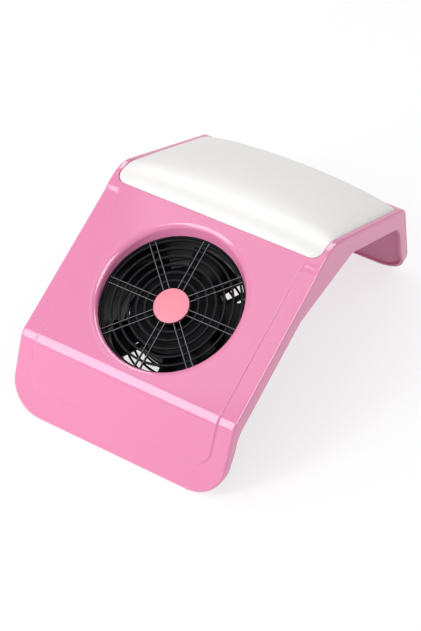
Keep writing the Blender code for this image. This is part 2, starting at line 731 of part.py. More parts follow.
def box_outline(half_x, half_y, x=0.0, y=0.0, radius=0.0):
    corners = [(x - half_x, y - half_y), (x + half_x, y - half_y),
               (x + half_x, y + half_y), (x - half_x, y + half_y)]
    if radius == 0:
        return corners
    return rounded(corners, [radius] * 4, steps=3, closed=True)


def pad_screw_places():
    """The hand rest's screws, on the rail stretch behind the crest."""
    return [(side * (HALF_WIDTH - PAD_SCREW_INSET), share * RAIL_LENGTH)
            for side in (-1, 1) for share in PAD_SCREW_SHARES]


def path_stations(start, depth, rear_margin, count):
    """Evenly spaced places along the hand rest's path, each with its outward way."""
    path = [Vector(point) for point in rail_path(start, depth, rear_margin)]
    runs = [(b - a).length for a, b in zip(path, path[1:])]
    total = sum(runs)
    places = []
    for index in range(count):
        left = total * index / (count - 1)
        piece = 0
        while piece < len(runs) - 1 and left > runs[piece]:
            left -= runs[piece]
            piece += 1
        way = (path[piece + 1] - path[piece]).normalized()
        places.append((path[piece] + way * left, Vector((-way.y, way.x)), total))
    return places


def cushion_base():
    """The moulded carrier that the padding is wrapped on, lying in the tray."""
    start = TRAY_START + BASE_MARGIN
    rear = TRAY_REAR_MARGIN + BASE_MARGIN
    floor = TRAY_DEPTH - GAP
    outline = rail_path(start, floor - BASE_THICKNESS, rear) + rail_path(start, floor, rear)[::-1]
    half = HALF_WIDTH - RAIL_WIDTH - BASE_MARGIN
    base = slab("cushion_base", outline, -half, half, GREY_CARRIER, SIDE)
    for index, place in enumerate(pad_screw_places(), 1):
        pilot = rod(f"base_pilot_{index}", PAD_SCREW_RADIUS + GAP, -TRAY_DEPTH - OVERRUN,
                    -TRAY_DEPTH + GAP + PAD_SCREW_BITE + GAP, SMALL_STEPS, parent=RAIL, place=place)
        cut(base, pilot)
    return base


def cushion():
    """The padded hand rest: crowned, its sides drawn in between rounded corners."""
    bottom = TRAY_DEPTH - GAP - BASE_THICKNESS - CUSHION_SEAT_GAP
    top_edge = -CUSHION_EDGE_HEIGHT
    start = TRAY_START + GAP
    rear = TRAY_REAR_MARGIN + GAP
    half = HALF_WIDTH - RAIL_WIDTH - GAP
    stations = path_stations(start, 0, rear, CUSHION_ROWS)
    floor = path_stations(start, bottom, rear, CUSHION_ROWS)
    total = stations[0][2]
    shape = bmesh.new()
    top_rows, edge_rows, floor_rows = [], [], []
    for index, ((point, out, _), (low_point, _, _)) in enumerate(zip(stations, floor)):
        along = total * index / (CUSHION_ROWS - 1)
        to_end = min(along, total - along)
        corner = max(TRAY_CORNER_RADIUS - to_end, 0)
        pulled = TRAY_CORNER_RADIUS - math.sqrt(TRAY_CORNER_RADIUS ** 2 - corner ** 2)
        waist = CUSHION_SIDE_PULL * math.sin(math.pi * along / total)
        wide = half - pulled - waist
        lengthwise = abs(2 * along / total - 1)
        row = []
        for column in range(1, CUSHION_COLUMNS):
            across = math.sin(math.pi / 2 * (2 * column / CUSHION_COLUMNS - 1))
            swell = (1 - abs(across) ** 3) ** 0.75 * (1 - lengthwise ** 7) ** 0.6
            raised = point + out * (CUSHION_EDGE_HEIGHT + CUSHION_CROWN * swell)
            row.append(shape.verts.new((across * wide, *raised)))
        edge = point - out * top_edge
        ends = [shape.verts.new((side * wide, *edge)) for side in (-1, 1)]
        top_rows.append([ends[0]] + row + [ends[1]])
        floor_rows.append([shape.verts.new((side * wide, *low_point)) for side in (-1, 1)])
    for front_row, back_row in zip(top_rows, top_rows[1:]):
        for column in range(CUSHION_COLUMNS):
            shape.faces.new((front_row[column], front_row[column + 1],
                             back_row[column + 1], back_row[column]))
    for index in range(CUSHION_ROWS - 1):
        near, far = floor_rows[index], floor_rows[index + 1]
        shape.faces.new((near[0], far[0], far[1], near[1]))
        shape.faces.new((near[0], top_rows[index][0], top_rows[index + 1][0], far[0]))
        shape.faces.new((near[1], far[1], top_rows[index + 1][-1], top_rows[index][-1]))
    shape.faces.new([floor_rows[0][0], floor_rows[0][1]] + top_rows[0][::-1])
    shape.faces.new([floor_rows[-1][1], floor_rows[-1][0]] + top_rows[-1])
    mesh = mesh_from("cushion", shape, math.radians(50))
    return add_object("cushion", mesh, WHITE_LEATHERETTE)


def recess(name, head_radius, face, parent, place, upward):
    """A cross recess cut into a screw's head, which faces down its axis."""
    long_half = head_radius * RECESS_LENGTH_SHARE / 2
    thin_half = RECESS_WIDTH / 2
    low, high = sorted((face - upward * OVERRUN, face + upward * RECESS_DEPTH))
    across = slab(name + "_across", box_outline(long_half, thin_half, *place), low, high,
                  parent=parent)
    up = slab(name + "_up", box_outline(thin_half, long_half, *place), low, high, parent=parent)
    return across, up


def screw(name, place, parent, head_face, seat, tip, shank, head_radius, finish):
    """A pan-head screw that points up local Z, from its head's face to its tip."""
    shape_guide = bpy.data.objects.new(name + "_guide", None)
    CUTTERS.objects.link(shape_guide)
    shape_guide.hide_render = True
    shape_guide.parent = parent
    shape_guide.location = (*place, 0)
    dome = (seat - head_face) / 2
    profile = [(0, tip), (shank, tip - SCREW_POINT), (shank, seat), (head_radius, seat),
               (head_radius, head_face + dome), (head_radius - dome, head_face), (0, head_face)]
    made = turned(name, profile, SMALL_STEPS, finish, shape_guide, closed=False)
    for cutter in recess(name, head_radius, head_face, shape_guide, (0, 0), 1):
        cut(made, cutter)
    return made


def cushion_screws():
    """Screws driven from below, through the tray's floor into the carrier."""
    seat = -(TRAY_DEPTH + WALL + GAP)
    tip = -TRAY_DEPTH + GAP + PAD_SCREW_BITE
    for index, place in enumerate(pad_screw_places(), 1):
        screw(f"cushion_screw_{index}", place, RAIL, seat - PAD_SCREW_HEAD_HEIGHT, seat, tip,
              PAD_SCREW_RADIUS, PAD_SCREW_HEAD_RADIUS, ZINC_SCREW)


def spoke(name, angle, offset, inner, outer, low, high, width, parent):
    """A straight bar from one radius to another, set beside the radial line."""
    along = Vector((math.cos(angle), math.sin(angle)))
    beside = Vector((-along.y, along.x))
    corners = [along * inner + beside * (offset - width / 2),
               along * outer + beside * (offset - width / 2),
               along * outer + beside * (offset + width / 2),
               along * inner + beside * (offset + width / 2)]
    return slab(name, corners, low, high, parent=parent)


def fan_guard():
    """The round guard: thin rings and paired spokes on a flange under the well wall."""
    flange = ring_profile(GUARD_RIM_RADIUS, GUARD_FLANGE_RADIUS, GUARD_FLANGE_BOTTOM,
                          GUARD_FLANGE_TOP)
    guard = turned("fan_guard", flange, FINE_RING_STEPS, BLACK_GUARD, FAN)
    low, high = GUARD_FLANGE_BOTTOM + NUDGE, GUARD_FLANGE_TOP - NUDGE
    for index in range(SPOKE_COUNT):
        angle = math.tau * index / SPOKE_COUNT
        for side, word in ((-1, "a"), (1, "b")):
            bar = spoke(f"guard_bar_{index}{word}", angle, side * SPOKE_PAIR_SPACING / 2,
                        BADGE_RADIUS + GAP, GUARD_RIM_RADIUS + OVERLAP, low, high,
                        SPOKE_WIDTH, FAN)
            join(guard, bar)
    for index in range(1, GUARD_RING_COUNT + 1):
        middle = BADGE_RADIUS + GUARD_RING_PITCH * index
        profile = ring_profile(middle - GUARD_RING_WIDTH / 2, middle + GUARD_RING_WIDTH / 2,
                               low + NUDGE, high - GUARD_RING_STEP)
        join(guard, turned(f"guard_ring_{index}", profile, GUARD_STEPS, parent=FAN))
    plate = rod("guard_hub", BADGE_RADIUS + GUARD_HUB_MARGIN, GUARD_FLANGE_BOTTOM,
                BADGE_TOP - BADGE_THICKNESS - GAP, GUARD_STEPS, parent=FAN)
    join(guard, plate)
    return guard


def guard_badge():
    """The plain disc at the guard's centre."""
    low, high = BADGE_TOP - BADGE_THICKNESS, BADGE_TOP
    profile = [(0, high), (BADGE_RADIUS - BADGE_EDGE, high), (BADGE_RADIUS, high - BADGE_EDGE),
               (BADGE_RADIUS, low), (0, low)]
    return turned("guard_badge", profile, GUARD_STEPS, SALMON_BADGE, FAN, closed=False)


def fan_frame():
    """The fan's square frame, with its barrel, struts, motor base and bearing tube."""
    half = FAN_SIZE / 2
    frame = slab("fan_frame", box_outline(half, half, radius=FAN_CORNER_RADIUS),
                 FRAME_BOTTOM, FRAME_TOP, BLACK_FAN, FAN)
    waste = slab("frame_waist", box_outline(half + OVERRUN, half + OVERRUN),
                 FRAME_BOTTOM + FAN_FLANGE, FRAME_TOP - FAN_FLANGE, parent=FAN)
    barrel = rod("frame_barrel", FAN_BORE_RADIUS + FAN_BARREL_WALL, FRAME_BOTTOM, FRAME_TOP,
                 FINE_RING_STEPS, parent=FAN)
    cut(waste, barrel)
    cut(frame, waste)
    cut(frame, rod("frame_bore", FAN_BORE_RADIUS, FRAME_BOTTOM - OVERRUN, FRAME_TOP + OVERRUN,
                   FINE_RING_STEPS, parent=FAN))
    for index, place in enumerate(FAN_CORNERS, 1):
        cut(frame, rod(f"frame_hole_{index}", FAN_HOLE_RADIUS, FRAME_BOTTOM - OVERRUN,
                       FRAME_TOP + OVERRUN, SMALL_STEPS, parent=FAN, place=place))
    for index in range(STRUT_COUNT):
        angle = math.tau * index / STRUT_COUNT + STRUT_ROTATION
        strut = spoke(f"frame_strut_{index}", angle, 0, MOTOR_BASE_RADIUS - STRUT_WIDTH,
                      FAN_BORE_RADIUS + FAN_BARREL_WALL / 2, FRAME_BOTTOM + NUDGE, BASE_TOP - NUDGE,
                      STRUT_WIDTH, FAN)
        join(frame, strut)
    base = [(TUBE_RADIUS, bearing_top()), (TUBE_RADIUS, BASE_TOP), (MOTOR_BASE_RADIUS, BASE_TOP),
            (MOTOR_BASE_RADIUS, FRAME_BOTTOM), (TUBE_BORE, FRAME_BOTTOM),
            (TUBE_BORE, bearing_top())]
    join(frame, turned("motor_base", base, RING_STEPS, parent=FAN))
    return frame


def bearing_top():
    """The upper bearing's top, just under the hub's inner boss."""
    return HUB_TOP - HUB_WALL - YOKE_WALL - 2 * GAP - SHAFT_RADIUS


def bearings():
    inner = SHAFT_RADIUS + GAP
    top = bearing_top()
    bottom = FRAME_BOTTOM + MOTOR_BASE_THICKNESS
    turned("bearing_upper", ring_profile(inner, BEARING_RADIUS, top - BEARING_WIDTH, top),
           SMALL_STEPS, YOKE_STEEL, FAN)
    turned("bearing_lower", ring_profile(inner, BEARING_RADIUS, bottom, bottom + BEARING_WIDTH),
           SMALL_STEPS, YOKE_STEEL, FAN)


def blade(name, turn_angle, parent):
    """One fan blade: curved sections from inside the hub's wall to the tip.

    It winds clockwise on its way down, seen from above.
    """
    sections = 5
    chord_points = 5
    root = HUB_RADIUS - HUB_WALL / 2
    tip = FAN_BORE_RADIUS - BLADE_TIP_CLEARANCE
    middle = (HUB_TOP + HUB_BOTTOM) / 2
    shape = bmesh.new()
    loops = []
    for section in range(sections):
        share = section / (sections - 1)
        radius = root + (tip - root) * share
        height = BLADE_ROOT_HEIGHT + (BLADE_TIP_HEIGHT - BLADE_ROOT_HEIGHT) * share
        upper, lower = [], []
        for step in range(chord_points):
            along = step / (chord_points - 1)
            bulge = BLADE_CAMBER * math.sin(math.pi * along)
            skin = BLADE_THICKNESS * (0.35 + 0.65 * math.sin(math.pi * along)) / 2
            angle = turn_angle - BLADE_TURN * (along - 0.5)
            level = middle + height * (0.5 - along) + bulge
            for store, offset in ((upper, skin), (lower, -skin)):
                store.append(Vector((radius * math.cos(angle), radius * math.sin(angle),
                                     level + offset)))
        loops.append([shape.verts.new(point) for point in upper + lower[::-1]])
    count = len(loops[0])
    for near, far in zip(loops, loops[1:]):
        for index in range(count):
            ahead = (index + 1) % count
            shape.faces.new((near[index], near[ahead], far[ahead], far[index]))
    shape.faces.new(loops[0][::-1])
    shape.faces.new(loops[-1])
    return add_object(name, mesh_from(name, shape), parent=parent)


def impeller():
    """The fan wheel: a hub cup with its shaft boss and swept blades."""
    inner = HUB_RADIUS - HUB_WALL
    under = HUB_TOP - HUB_WALL
    boss_low = bearing_top() + GAP
    boss_radius = SHAFT_RADIUS + GAP + HUB_WALL
    hole = SHAFT_RADIUS + GAP
    shaft_top = under + GAP
    profile = [(0, HUB_TOP), (HUB_RADIUS - HUB_TOP_ROUNDING, HUB_TOP),
               (HUB_RADIUS, HUB_TOP - HUB_TOP_ROUNDING), (HUB_RADIUS, HUB_BOTTOM),
               (inner, HUB_BOTTOM), (inner, under), (boss_radius, under),
               (boss_radius, boss_low), (hole, boss_low), (hole, shaft_top), (0, shaft_top)]
    wheel = turned("impeller", profile, RING_STEPS, BLACK_FAN, SPIN, closed=False)
    for index in range(BLADE_COUNT):
        join(wheel, blade(f"blade_{index}", math.tau * index / BLADE_COUNT + BLADE_ROTATION, SPIN))
    return wheel


def rotor():
    """What turns inside the hub: steel yoke, magnet ring, shaft and its clip."""
    under = HUB_TOP - HUB_WALL
    yoke_outer = HUB_RADIUS - HUB_WALL - GAP
    yoke_inner = yoke_outer - YOKE_WALL
    yoke_top = under - GAP
    hole = SHAFT_RADIUS + GAP + HUB_WALL + GAP
    yoke = [(yoke_outer, yoke_top), (yoke_outer, HUB_BOTTOM), (yoke_inner, HUB_BOTTOM),
            (yoke_inner, yoke_top - YOKE_WALL), (hole, yoke_top - YOKE_WALL), (hole, yoke_top)]
    turned("rotor_yoke", yoke, RING_STEPS, YOKE_STEEL, SPIN)
    magnet_outer = yoke_inner - GAP
    magnet = ring_profile(magnet_outer - MAGNET_THICKNESS, magnet_outer, HUB_BOTTOM,
                          HUB_BOTTOM + MAGNET_LENGTH)
    turned("magnet_ring", magnet, RING_STEPS, MAGNET_FERRITE, SPIN)
    groove = SHAFT_RADIUS - GROOVE_DEPTH
    groove_top = FRAME_BOTTOM + MOTOR_BASE_THICKNESS - GAP
    groove_bottom = groove_top - CLIP_THICKNESS - 2 * GAP
    shaft_end = groove_bottom - CLIP_THICKNESS
    shaft = [(0, under), (SHAFT_RADIUS, under), (SHAFT_RADIUS, groove_top), (groove, groove_top),
             (groove, groove_bottom), (SHAFT_RADIUS, groove_bottom), (SHAFT_RADIUS, shaft_end),
             (0, shaft_end)]
    turned("rotor_shaft", shaft, SMALL_STEPS, YOKE_STEEL, SPIN, closed=False)
    clip = ring_profile(groove + GAP, CLIP_RADIUS, groove_bottom + GAP, groove_top - GAP)
    turned("shaft_clip", clip, SMALL_STEPS, YOKE_STEEL, SPIN)


def stator():
    """The wound core on the bearing tube, and the driver board under it."""
    magnet_inner = HUB_RADIUS - HUB_WALL - GAP - YOKE_WALL - GAP - MAGNET_THICKNESS
    shoe_radius = magnet_inner - AIR_GAP
    shoe_inner = shoe_radius - POLE_SHOE_THICKNESS
    bore = TUBE_RADIUS + GAP
    core_outer = bore + STATOR_RING
    middle = HUB_BOTTOM + MAGNET_LENGTH / 2
    low, high = middle - STATOR_HEIGHT / 2, middle + STATOR_HEIGHT / 2
    core = turned("stator_core", ring_profile(bore, core_outer, low, high), RING_STEPS,
                  LAMINATION_STEEL, FAN)
    steps = 8
    for index in range(POLE_COUNT):
        angle = math.tau * index / POLE_COUNT
        neck = spoke(f"pole_neck_{index}", angle, 0, core_outer - STATOR_RING / 2,
                     shoe_radius - POLE_SHOE_THICKNESS / 2, low + NUDGE, high - NUDGE,
                     POLE_WIDTH, FAN)
        join(core, neck)
        sweep = [angle + POLE_SHOE_ANGLE * (step / steps - 0.5) for step in range(steps + 1)]
        outline = [(shoe_radius * math.cos(a), shoe_radius * math.sin(a)) for a in sweep]
        outline += [(shoe_inner * math.cos(a), shoe_inner * math.sin(a)) for a in sweep[::-1]]
        join(core, slab(f"pole_shoe_{index}", outline, low, high, parent=FAN))
        coil_frame = bpy.data.objects.new(f"coil_guide_{index}", None)
        CUTTERS.objects.link(coil_frame)
        coil_frame.hide_render = True
        coil_frame.parent = FAN
        along = Vector((math.cos(angle), math.sin(angle), 0))
        beside = Vector((-along.y, along.x, 0))
        turn = Matrix((beside, Vector((0, 0, 1)), along)).transposed().to_4x4()
        coil_frame.matrix_local = Matrix.Translation((0, 0, middle)) @ turn
        half_x = POLE_WIDTH / 2 + GAP
        half_y = STATOR_HEIGHT / 2 + GAP
        near = core_outer + GAP
        far = math.sqrt(shoe_inner ** 2 - (half_x + COIL_THICKNESS) ** 2) - GAP
        coil = slab(f"stator_coil_{index + 1}",
                    box_outline(half_x + COIL_THICKNESS, half_y + COIL_THICKNESS,
                                radius=COIL_THICKNESS), near, far, COPPER_WIRE, coil_frame)
        cut(coil, slab(f"coil_window_{index}", box_outline(half_x, half_y), near - OVERRUN,
                       far + OVERRUN, parent=coil_frame))
    board = ring_profile(bore, HUB_RADIUS - HUB_WALL, BOARD_BOTTOM, BOARD_TOP)
    turned("driver_board", board, RING_STEPS, BOARD_GREEN, FAN)


def exhaust_collar():
    """The beaded ring under the rear grille."""
    outer = COLLAR_RADIUS + COLLAR_WALL
    bead = outer + COLLAR_BEAD
    top = GRILLE_BOTTOM - GAP
    ring = [(outer, top), (outer, COLLAR_BOTTOM + COLLAR_BEAD_LENGTH),
            (bead, COLLAR_BOTTOM + COLLAR_BEAD_LENGTH / 2), (outer, COLLAR_BOTTOM),
            (COLLAR_RADIUS, COLLAR_BOTTOM), (COLLAR_RADIUS, top)]
    turned("exhaust_collar", ring, FINE_RING_STEPS, BLACK_GUARD, FAN)


def rear_grille():
    """The plate under the fan, with a finger grille in its round opening."""
    half = FAN_SIZE / 2
    plate = slab("rear_grille", box_outline(half, half, radius=FAN_CORNER_RADIUS),
                 GRILLE_BOTTOM, GRILLE_TOP, BLACK_GUARD, FAN)
    cut(plate, rod("grille_bore", COLLAR_RADIUS, GRILLE_BOTTOM - OVERRUN,
                   GRILLE_TOP + OVERRUN, RING_STEPS, parent=FAN))
    for index, place in enumerate(FAN_CORNERS, 1):
        cut(plate, rod(f"grille_hole_{index}", FAN_HOLE_RADIUS, GRILLE_BOTTOM - OVERRUN,
                       GRILLE_TOP + OVERRUN, SMALL_STEPS, parent=FAN, place=place))
    low, high = GRILLE_BOTTOM, GRILLE_TOP - NUDGE
    for index in range(GRILLE_BAR_COUNT):
        angle = math.tau * (index + 0.5) / GRILLE_BAR_COUNT
        join(plate, spoke(f"grille_bar_{index}", angle, 0, GRILLE_RING_FIRST - OVERLAP / 2,
                          COLLAR_RADIUS + OVERLAP, low, high - NUDGE, GRILLE_BAR_WIDTH, FAN))
    for index in range(GRILLE_RING_COUNT):
        middle = GRILLE_RING_FIRST + GRILLE_RING_PITCH * index
        profile = ring_profile(middle - GRILLE_BAR_WIDTH / 2, middle + GRILLE_BAR_WIDTH / 2,
                               low + NUDGE, high)
        join(plate, turned(f"grille_ring_{index}", profile, RING_STEPS, parent=FAN))


def fan_screws():
    """Long screws up through the rear grille and the fan into the shell's bosses."""
    seat = GRILLE_BOTTOM - GAP
    tip = FRAME_TOP + FAN_SCREW_BITE
    for index, place in enumerate(FAN_CORNERS, 1):
        screw(f"fan_screw_{index}", place, FAN, seat - FAN_SCREW_HEAD_HEIGHT, seat, tip,
              FAN_SCREW_RADIUS, FAN_SCREW_HEAD_RADIUS, ZINC_SCREW)


def rocker_switch():
    """The power switch: body with bezel, rocker and two terminals."""
    x, y = SWITCH_X, LEG_FITTING_HEIGHT
    bezel_top = GAP + BEZEL_THICKNESS
    body = slab("switch_body", box_outline(BEZEL_LENGTH / 2, BEZEL_WIDTH / 2, x, y, BEZEL_CORNER),
                GAP, bezel_top, BLACK_SWITCH, LEG)
    join(body, slab("switch_case", box_outline(SWITCH_LENGTH / 2, SWITCH_WIDTH / 2, x, y),
                    -SWITCH_DEPTH, GAP + BEZEL_THICKNESS / 2, parent=LEG))
    pocket = slab("switch_pocket", box_outline(ROCKER_LENGTH / 2 + ROCKER_RUNNING_GAP,
                                               ROCKER_WIDTH / 2 + ROCKER_RUNNING_GAP, x, y),
                  bezel_top - ROCKER_POCKET_DEPTH, bezel_top + OVERRUN, parent=LEG)
    cut(body, pocket)
    pivot = bpy.data.objects.new("rocker_axis", None)
    CUTTERS.objects.link(pivot)
    pivot.hide_render = True
    pivot.parent = LEG
    pivot.location = (x, y, bezel_top)
    pivot.rotation_euler = (0, -ROCKER_THROW, 0)
    half = ROCKER_LENGTH / 2 - ROCKER_RUNNING_GAP
    paddle_outline = [(-half, ROCKER_RISE), (0, ROCKER_RISE - ROCKER_HOLLOW), (half, ROCKER_RISE),
                      (half, 0), (half * math.cos(ROCKER_THROW) / 2, -ROCKER_DEPTH),
                      (-half * math.cos(ROCKER_THROW) / 2, -ROCKER_DEPTH), (-half, 0)]
    on_edge = bpy.data.objects.new("rocker_side_guide", None)
    CUTTERS.objects.link(on_edge)
    on_edge.hide_render = True
    on_edge.parent = pivot
    on_edge.rotation_euler = (math.pi / 2, 0, 0)
    slab("switch_rocker", paddle_outline, -ROCKER_WIDTH / 2, ROCKER_WIDTH / 2, BLACK_SWITCH,
         on_edge)
    for side, word in ((-1, "left"), (1, "right")):
        slab(f"switch_terminal_{word}",
             box_outline(TERMINAL_THICKNESS / 2, TERMINAL_WIDTH / 2,
                         x + side * TERMINAL_SPACING / 2, y),
             -SWITCH_DEPTH - GAP - TERMINAL_LENGTH, -SWITCH_DEPTH - GAP, BRASS, LEG)


def power_inlet():
    """The low-voltage inlet: barrel through the leg, its nut and its centre pin."""
    frame = bpy.data.objects.new("inlet_guide", None)
    CUTTERS.objects.link(frame)
    frame.hide_render = True
    frame.parent = LEG
    frame.location = (INLET_X, LEG_FITTING_HEIGHT, 0)
    flange_top = GAP + INLET_FLANGE_THICKNESS
    back = flange_top - INLET_LENGTH
    floor = flange_top - INLET_BORE_DEPTH
    barrel = [(0, floor), (INLET_BORE_RADIUS, floor), (INLET_BORE_RADIUS, flange_top),
              (INLET_FLANGE_RADIUS, flange_top), (INLET_FLANGE_RADIUS, GAP),
              (INLET_BARREL_RADIUS, GAP), (INLET_BARREL_RADIUS, back), (0, back)]
    turned("inlet_barrel", barrel, SMALL_STEPS, BLACK_SWITCH, frame, closed=False)
    nut = [(INLET_NUT_RADIUS * math.cos(math.tau * i / 6), INLET_NUT_RADIUS * math.sin(math.tau * i / 6))
           for i in range(6)]
    made = slab("inlet_nut", nut, -WALL - GAP - INLET_NUT_THICKNESS, -WALL - GAP, ZINC_SCREW, frame)
    cut(made, rod("inlet_nut_bore", INLET_BARREL_RADIUS + GAP, -WALL - 2 * OVERRUN, 0, SMALL_STEPS,
                  parent=frame))
    rod("inlet_pin", INLET_PIN_RADIUS, floor + GAP, flange_top - INLET_PIN_RADIUS, SMALL_STEPS,
        BRASS, frame)


def under_shell(x, stretch, along, depth):
    """A place below the shell, at a run along one stretch of its side view."""
    start = SIDE_CORNERS[stretch]
    return Vector((x, *(start + ALONG[stretch] * along + INWARD[stretch] * depth)))


def smooth_route(stations):
    """Evenly spaced points on one smooth curve through the stations."""
    padded = [2 * stations[0] - stations[1]] + stations + [2 * stations[-1] - stations[-2]]
    points = [stations[0]]
    for before, start, end, after in zip(padded, padded[1:], padded[2:], padded[3:]):
        steps = max(2, round((end - start).length / LEAD_PITCH))
        for step in range(1, steps + 1):
            t = step / steps
            points.append((start * 2 + (end - before) * t
                           + (before * 2 - start * 5 + end * 4 - after) * t ** 2
                           + (start * 3 - before - end * 3 + after) * t ** 3) / 2)
    return points


def lead(name, stations, finish):
    """One insulated wire along a smooth route."""
    points = smooth_route(stations)
    curve = bpy.data.curves.new(name, "CURVE")
    curve.dimensions = "3D"
    curve.bevel_depth = LEAD_RADIUS
    curve.bevel_resolution = 2
    curve.use_fill_caps = True
    spline = curve.splines.new("POLY")
    spline.points.add(len(points) - 1)
    for slot, point in zip(spline.points, points):
        slot.co = (*point, 1)
    made = bpy.data.objects.new(name, curve)
    PARTS.objects.link(made)
    curve.materials.append(finish)
    return made


def fan_lead_start(x):
    """The start of a lead at the edge of the fan frame's upper flange."""
    edge = FAN_CENTRE + FAN_SIZE / 2 + GAP
    depth = -FRAME_TOP + FAN_FLANGE / 2
    run_out = 2 * LEAD_RADIUS
    return [under_shell(x, 1, edge + run_out * step, depth) for step in range(3)]


def leads():
    """The fan's two leads, and the link between the switch and the inlet."""
    under_tray = TRAY_DEPTH + WALL + 2 * GAP + LEAD_RADIUS
    leg_length = (LEG_FOOT - REAR_CORNER).length
    terminal_tip = SWITCH_DEPTH + GAP + TERMINAL_LENGTH
    past_tip = terminal_tip + GAP + LEAD_RADIUS
    barrel_back = INLET_LENGTH - GAP - INLET_FLANGE_THICKNESS
    past_barrel = barrel_back + GAP + LEAD_RADIUS
    fitting = leg_length - LEG_FITTING_HEIGHT
    near_side = LEAD_X + LEAD_SPACING / 2
    far_side = LEAD_X - LEAD_SPACING / 2
    live_x = -(SWITCH_X - TERMINAL_SPACING / 2)
    link_x = -(SWITCH_X + TERMINAL_SPACING / 2)
    near_pole = -(INLET_X - INLET_BARREL_RADIUS / 2)
    far_pole = -(INLET_X + INLET_BARREL_RADIUS / 2)
    saddle_first, saddle_last = (SADDLE_SHARES[end] * RAIL_LENGTH for end in (0, -1))
    for name, x, end_x, end_depth, finish in (
            ("lead_fan_to_switch", near_side, live_x, past_tip, LEAD_RED),
            ("lead_fan_to_inlet", far_side, far_pole, past_barrel, LEAD_BLACK)):
        shared = [under_shell(x, 2, along, under_tray + sag * LEAD_RADIUS)
                  for along, sag in ((saddle_first / 2, 3), (saddle_first, 0),
                                     ((saddle_first + saddle_last) / 2, 0), (saddle_last, 0),
                                     (saddle_last + SADDLE_LENGTH, 0),
                                     (saddle_last + 2 * SADDLE_LENGTH, 2))]
        middle_x = (x + end_x) / 2
        middle_depth = (under_tray + end_depth) / 2 + 4 * LEAD_RADIUS
        bend = under_shell(middle_x, 3, fitting / 4, middle_depth)
        ending = [under_shell(end_x, 3, fitting - TERMINAL_LENGTH, end_depth),
                  under_shell(end_x, 3, fitting + TERMINAL_WIDTH / 2, end_depth)]
        lead(name, fan_lead_start(x) + shared + [bend] + ending, finish)
    dip = fitting + 4 * LEAD_RADIUS
    lead("lead_switch_to_inlet",
         [under_shell(link_x, 3, fitting - TERMINAL_WIDTH / 2, past_tip),
          under_shell(link_x, 3, dip, past_tip),
          under_shell((link_x + near_pole) / 2, 3, dip + 2 * LEAD_RADIUS,
                      (past_tip + past_barrel) / 2),
          under_shell(near_pole, 3, dip, past_barrel),
          under_shell(near_pole, 3, fitting, past_barrel)], LEAD_RED)


def lead_clips():
    """Saddles that hold the fan's two leads up against the tray's floor."""
    seat = TRAY_DEPTH + WALL + GAP
    inner_half = LEAD_SPACING / 2 + LEAD_RADIUS + LEAD_CLEARANCE
    outer_half = inner_half + SADDLE_WALL
    ear_half = outer_half + SADDLE_EAR
    inner_height = 2 * LEAD_RADIUS + LEAD_CLEARANCE
    outer_height = inner_height + SADDLE_WALL
    half_outline = [(inner_half, 0), (ear_half, 0), (ear_half, SADDLE_EAR_THICKNESS),
                    (outer_half, SADDLE_EAR_THICKNESS), (outer_half, outer_height)]
    outline = [(inner_half, inner_height)] + half_outline
    outline += [(-x, y) for x, y in outline[::-1]]
    inward = Vector((0, *INWARD[2]))
    along_rail = Vector((0, *ALONG[2]))
    for index, share in enumerate(SADDLE_SHARES, 1):
        place = under_shell(LEAD_X, 2, share * RAIL_LENGTH, seat)
        frame = guide(f"saddle_guide_{index}", place, Vector((1, 0, 0)), inward, along_rail)
        slab(f"lead_clip_{index}", outline, -SADDLE_LENGTH / 2, SADDLE_LENGTH / 2,
             BLACK_SWITCH, frame)


def main():
    top_shell()
    feet()
    cushion_base()
    cushion()
    cushion_screws()
    fan_guard()
    guard_badge()
    fan_frame()
    bearings()
    impeller()
    rotor()
    stator()
    rear_grille()
    exhaust_collar()
    fan_screws()
    rocker_switch()
    power_inlet()
    leads()
    lead_clips()


main()
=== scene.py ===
"""Looks of the nail dust collector: gloss shell, padded rest, guard, fan and fittings.

All lengths are in metres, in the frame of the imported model.
"""

import json
import math

import bmesh
import bpy
from mathutils import Matrix, Vector

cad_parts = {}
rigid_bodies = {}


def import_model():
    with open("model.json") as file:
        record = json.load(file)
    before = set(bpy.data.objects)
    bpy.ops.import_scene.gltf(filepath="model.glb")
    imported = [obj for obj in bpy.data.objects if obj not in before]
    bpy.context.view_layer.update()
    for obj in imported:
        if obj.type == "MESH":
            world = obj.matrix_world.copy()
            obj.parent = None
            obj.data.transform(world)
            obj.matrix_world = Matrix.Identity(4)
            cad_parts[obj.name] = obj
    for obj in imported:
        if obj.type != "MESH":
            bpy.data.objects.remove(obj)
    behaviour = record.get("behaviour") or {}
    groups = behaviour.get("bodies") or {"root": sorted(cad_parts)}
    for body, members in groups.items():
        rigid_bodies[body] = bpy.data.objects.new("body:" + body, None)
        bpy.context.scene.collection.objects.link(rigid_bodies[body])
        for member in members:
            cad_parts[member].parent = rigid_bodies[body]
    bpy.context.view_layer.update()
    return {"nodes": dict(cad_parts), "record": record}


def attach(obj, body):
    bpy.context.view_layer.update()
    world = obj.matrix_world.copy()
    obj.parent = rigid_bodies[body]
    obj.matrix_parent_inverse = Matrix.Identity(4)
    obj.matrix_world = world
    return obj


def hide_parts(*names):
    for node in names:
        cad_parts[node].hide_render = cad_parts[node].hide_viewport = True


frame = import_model()

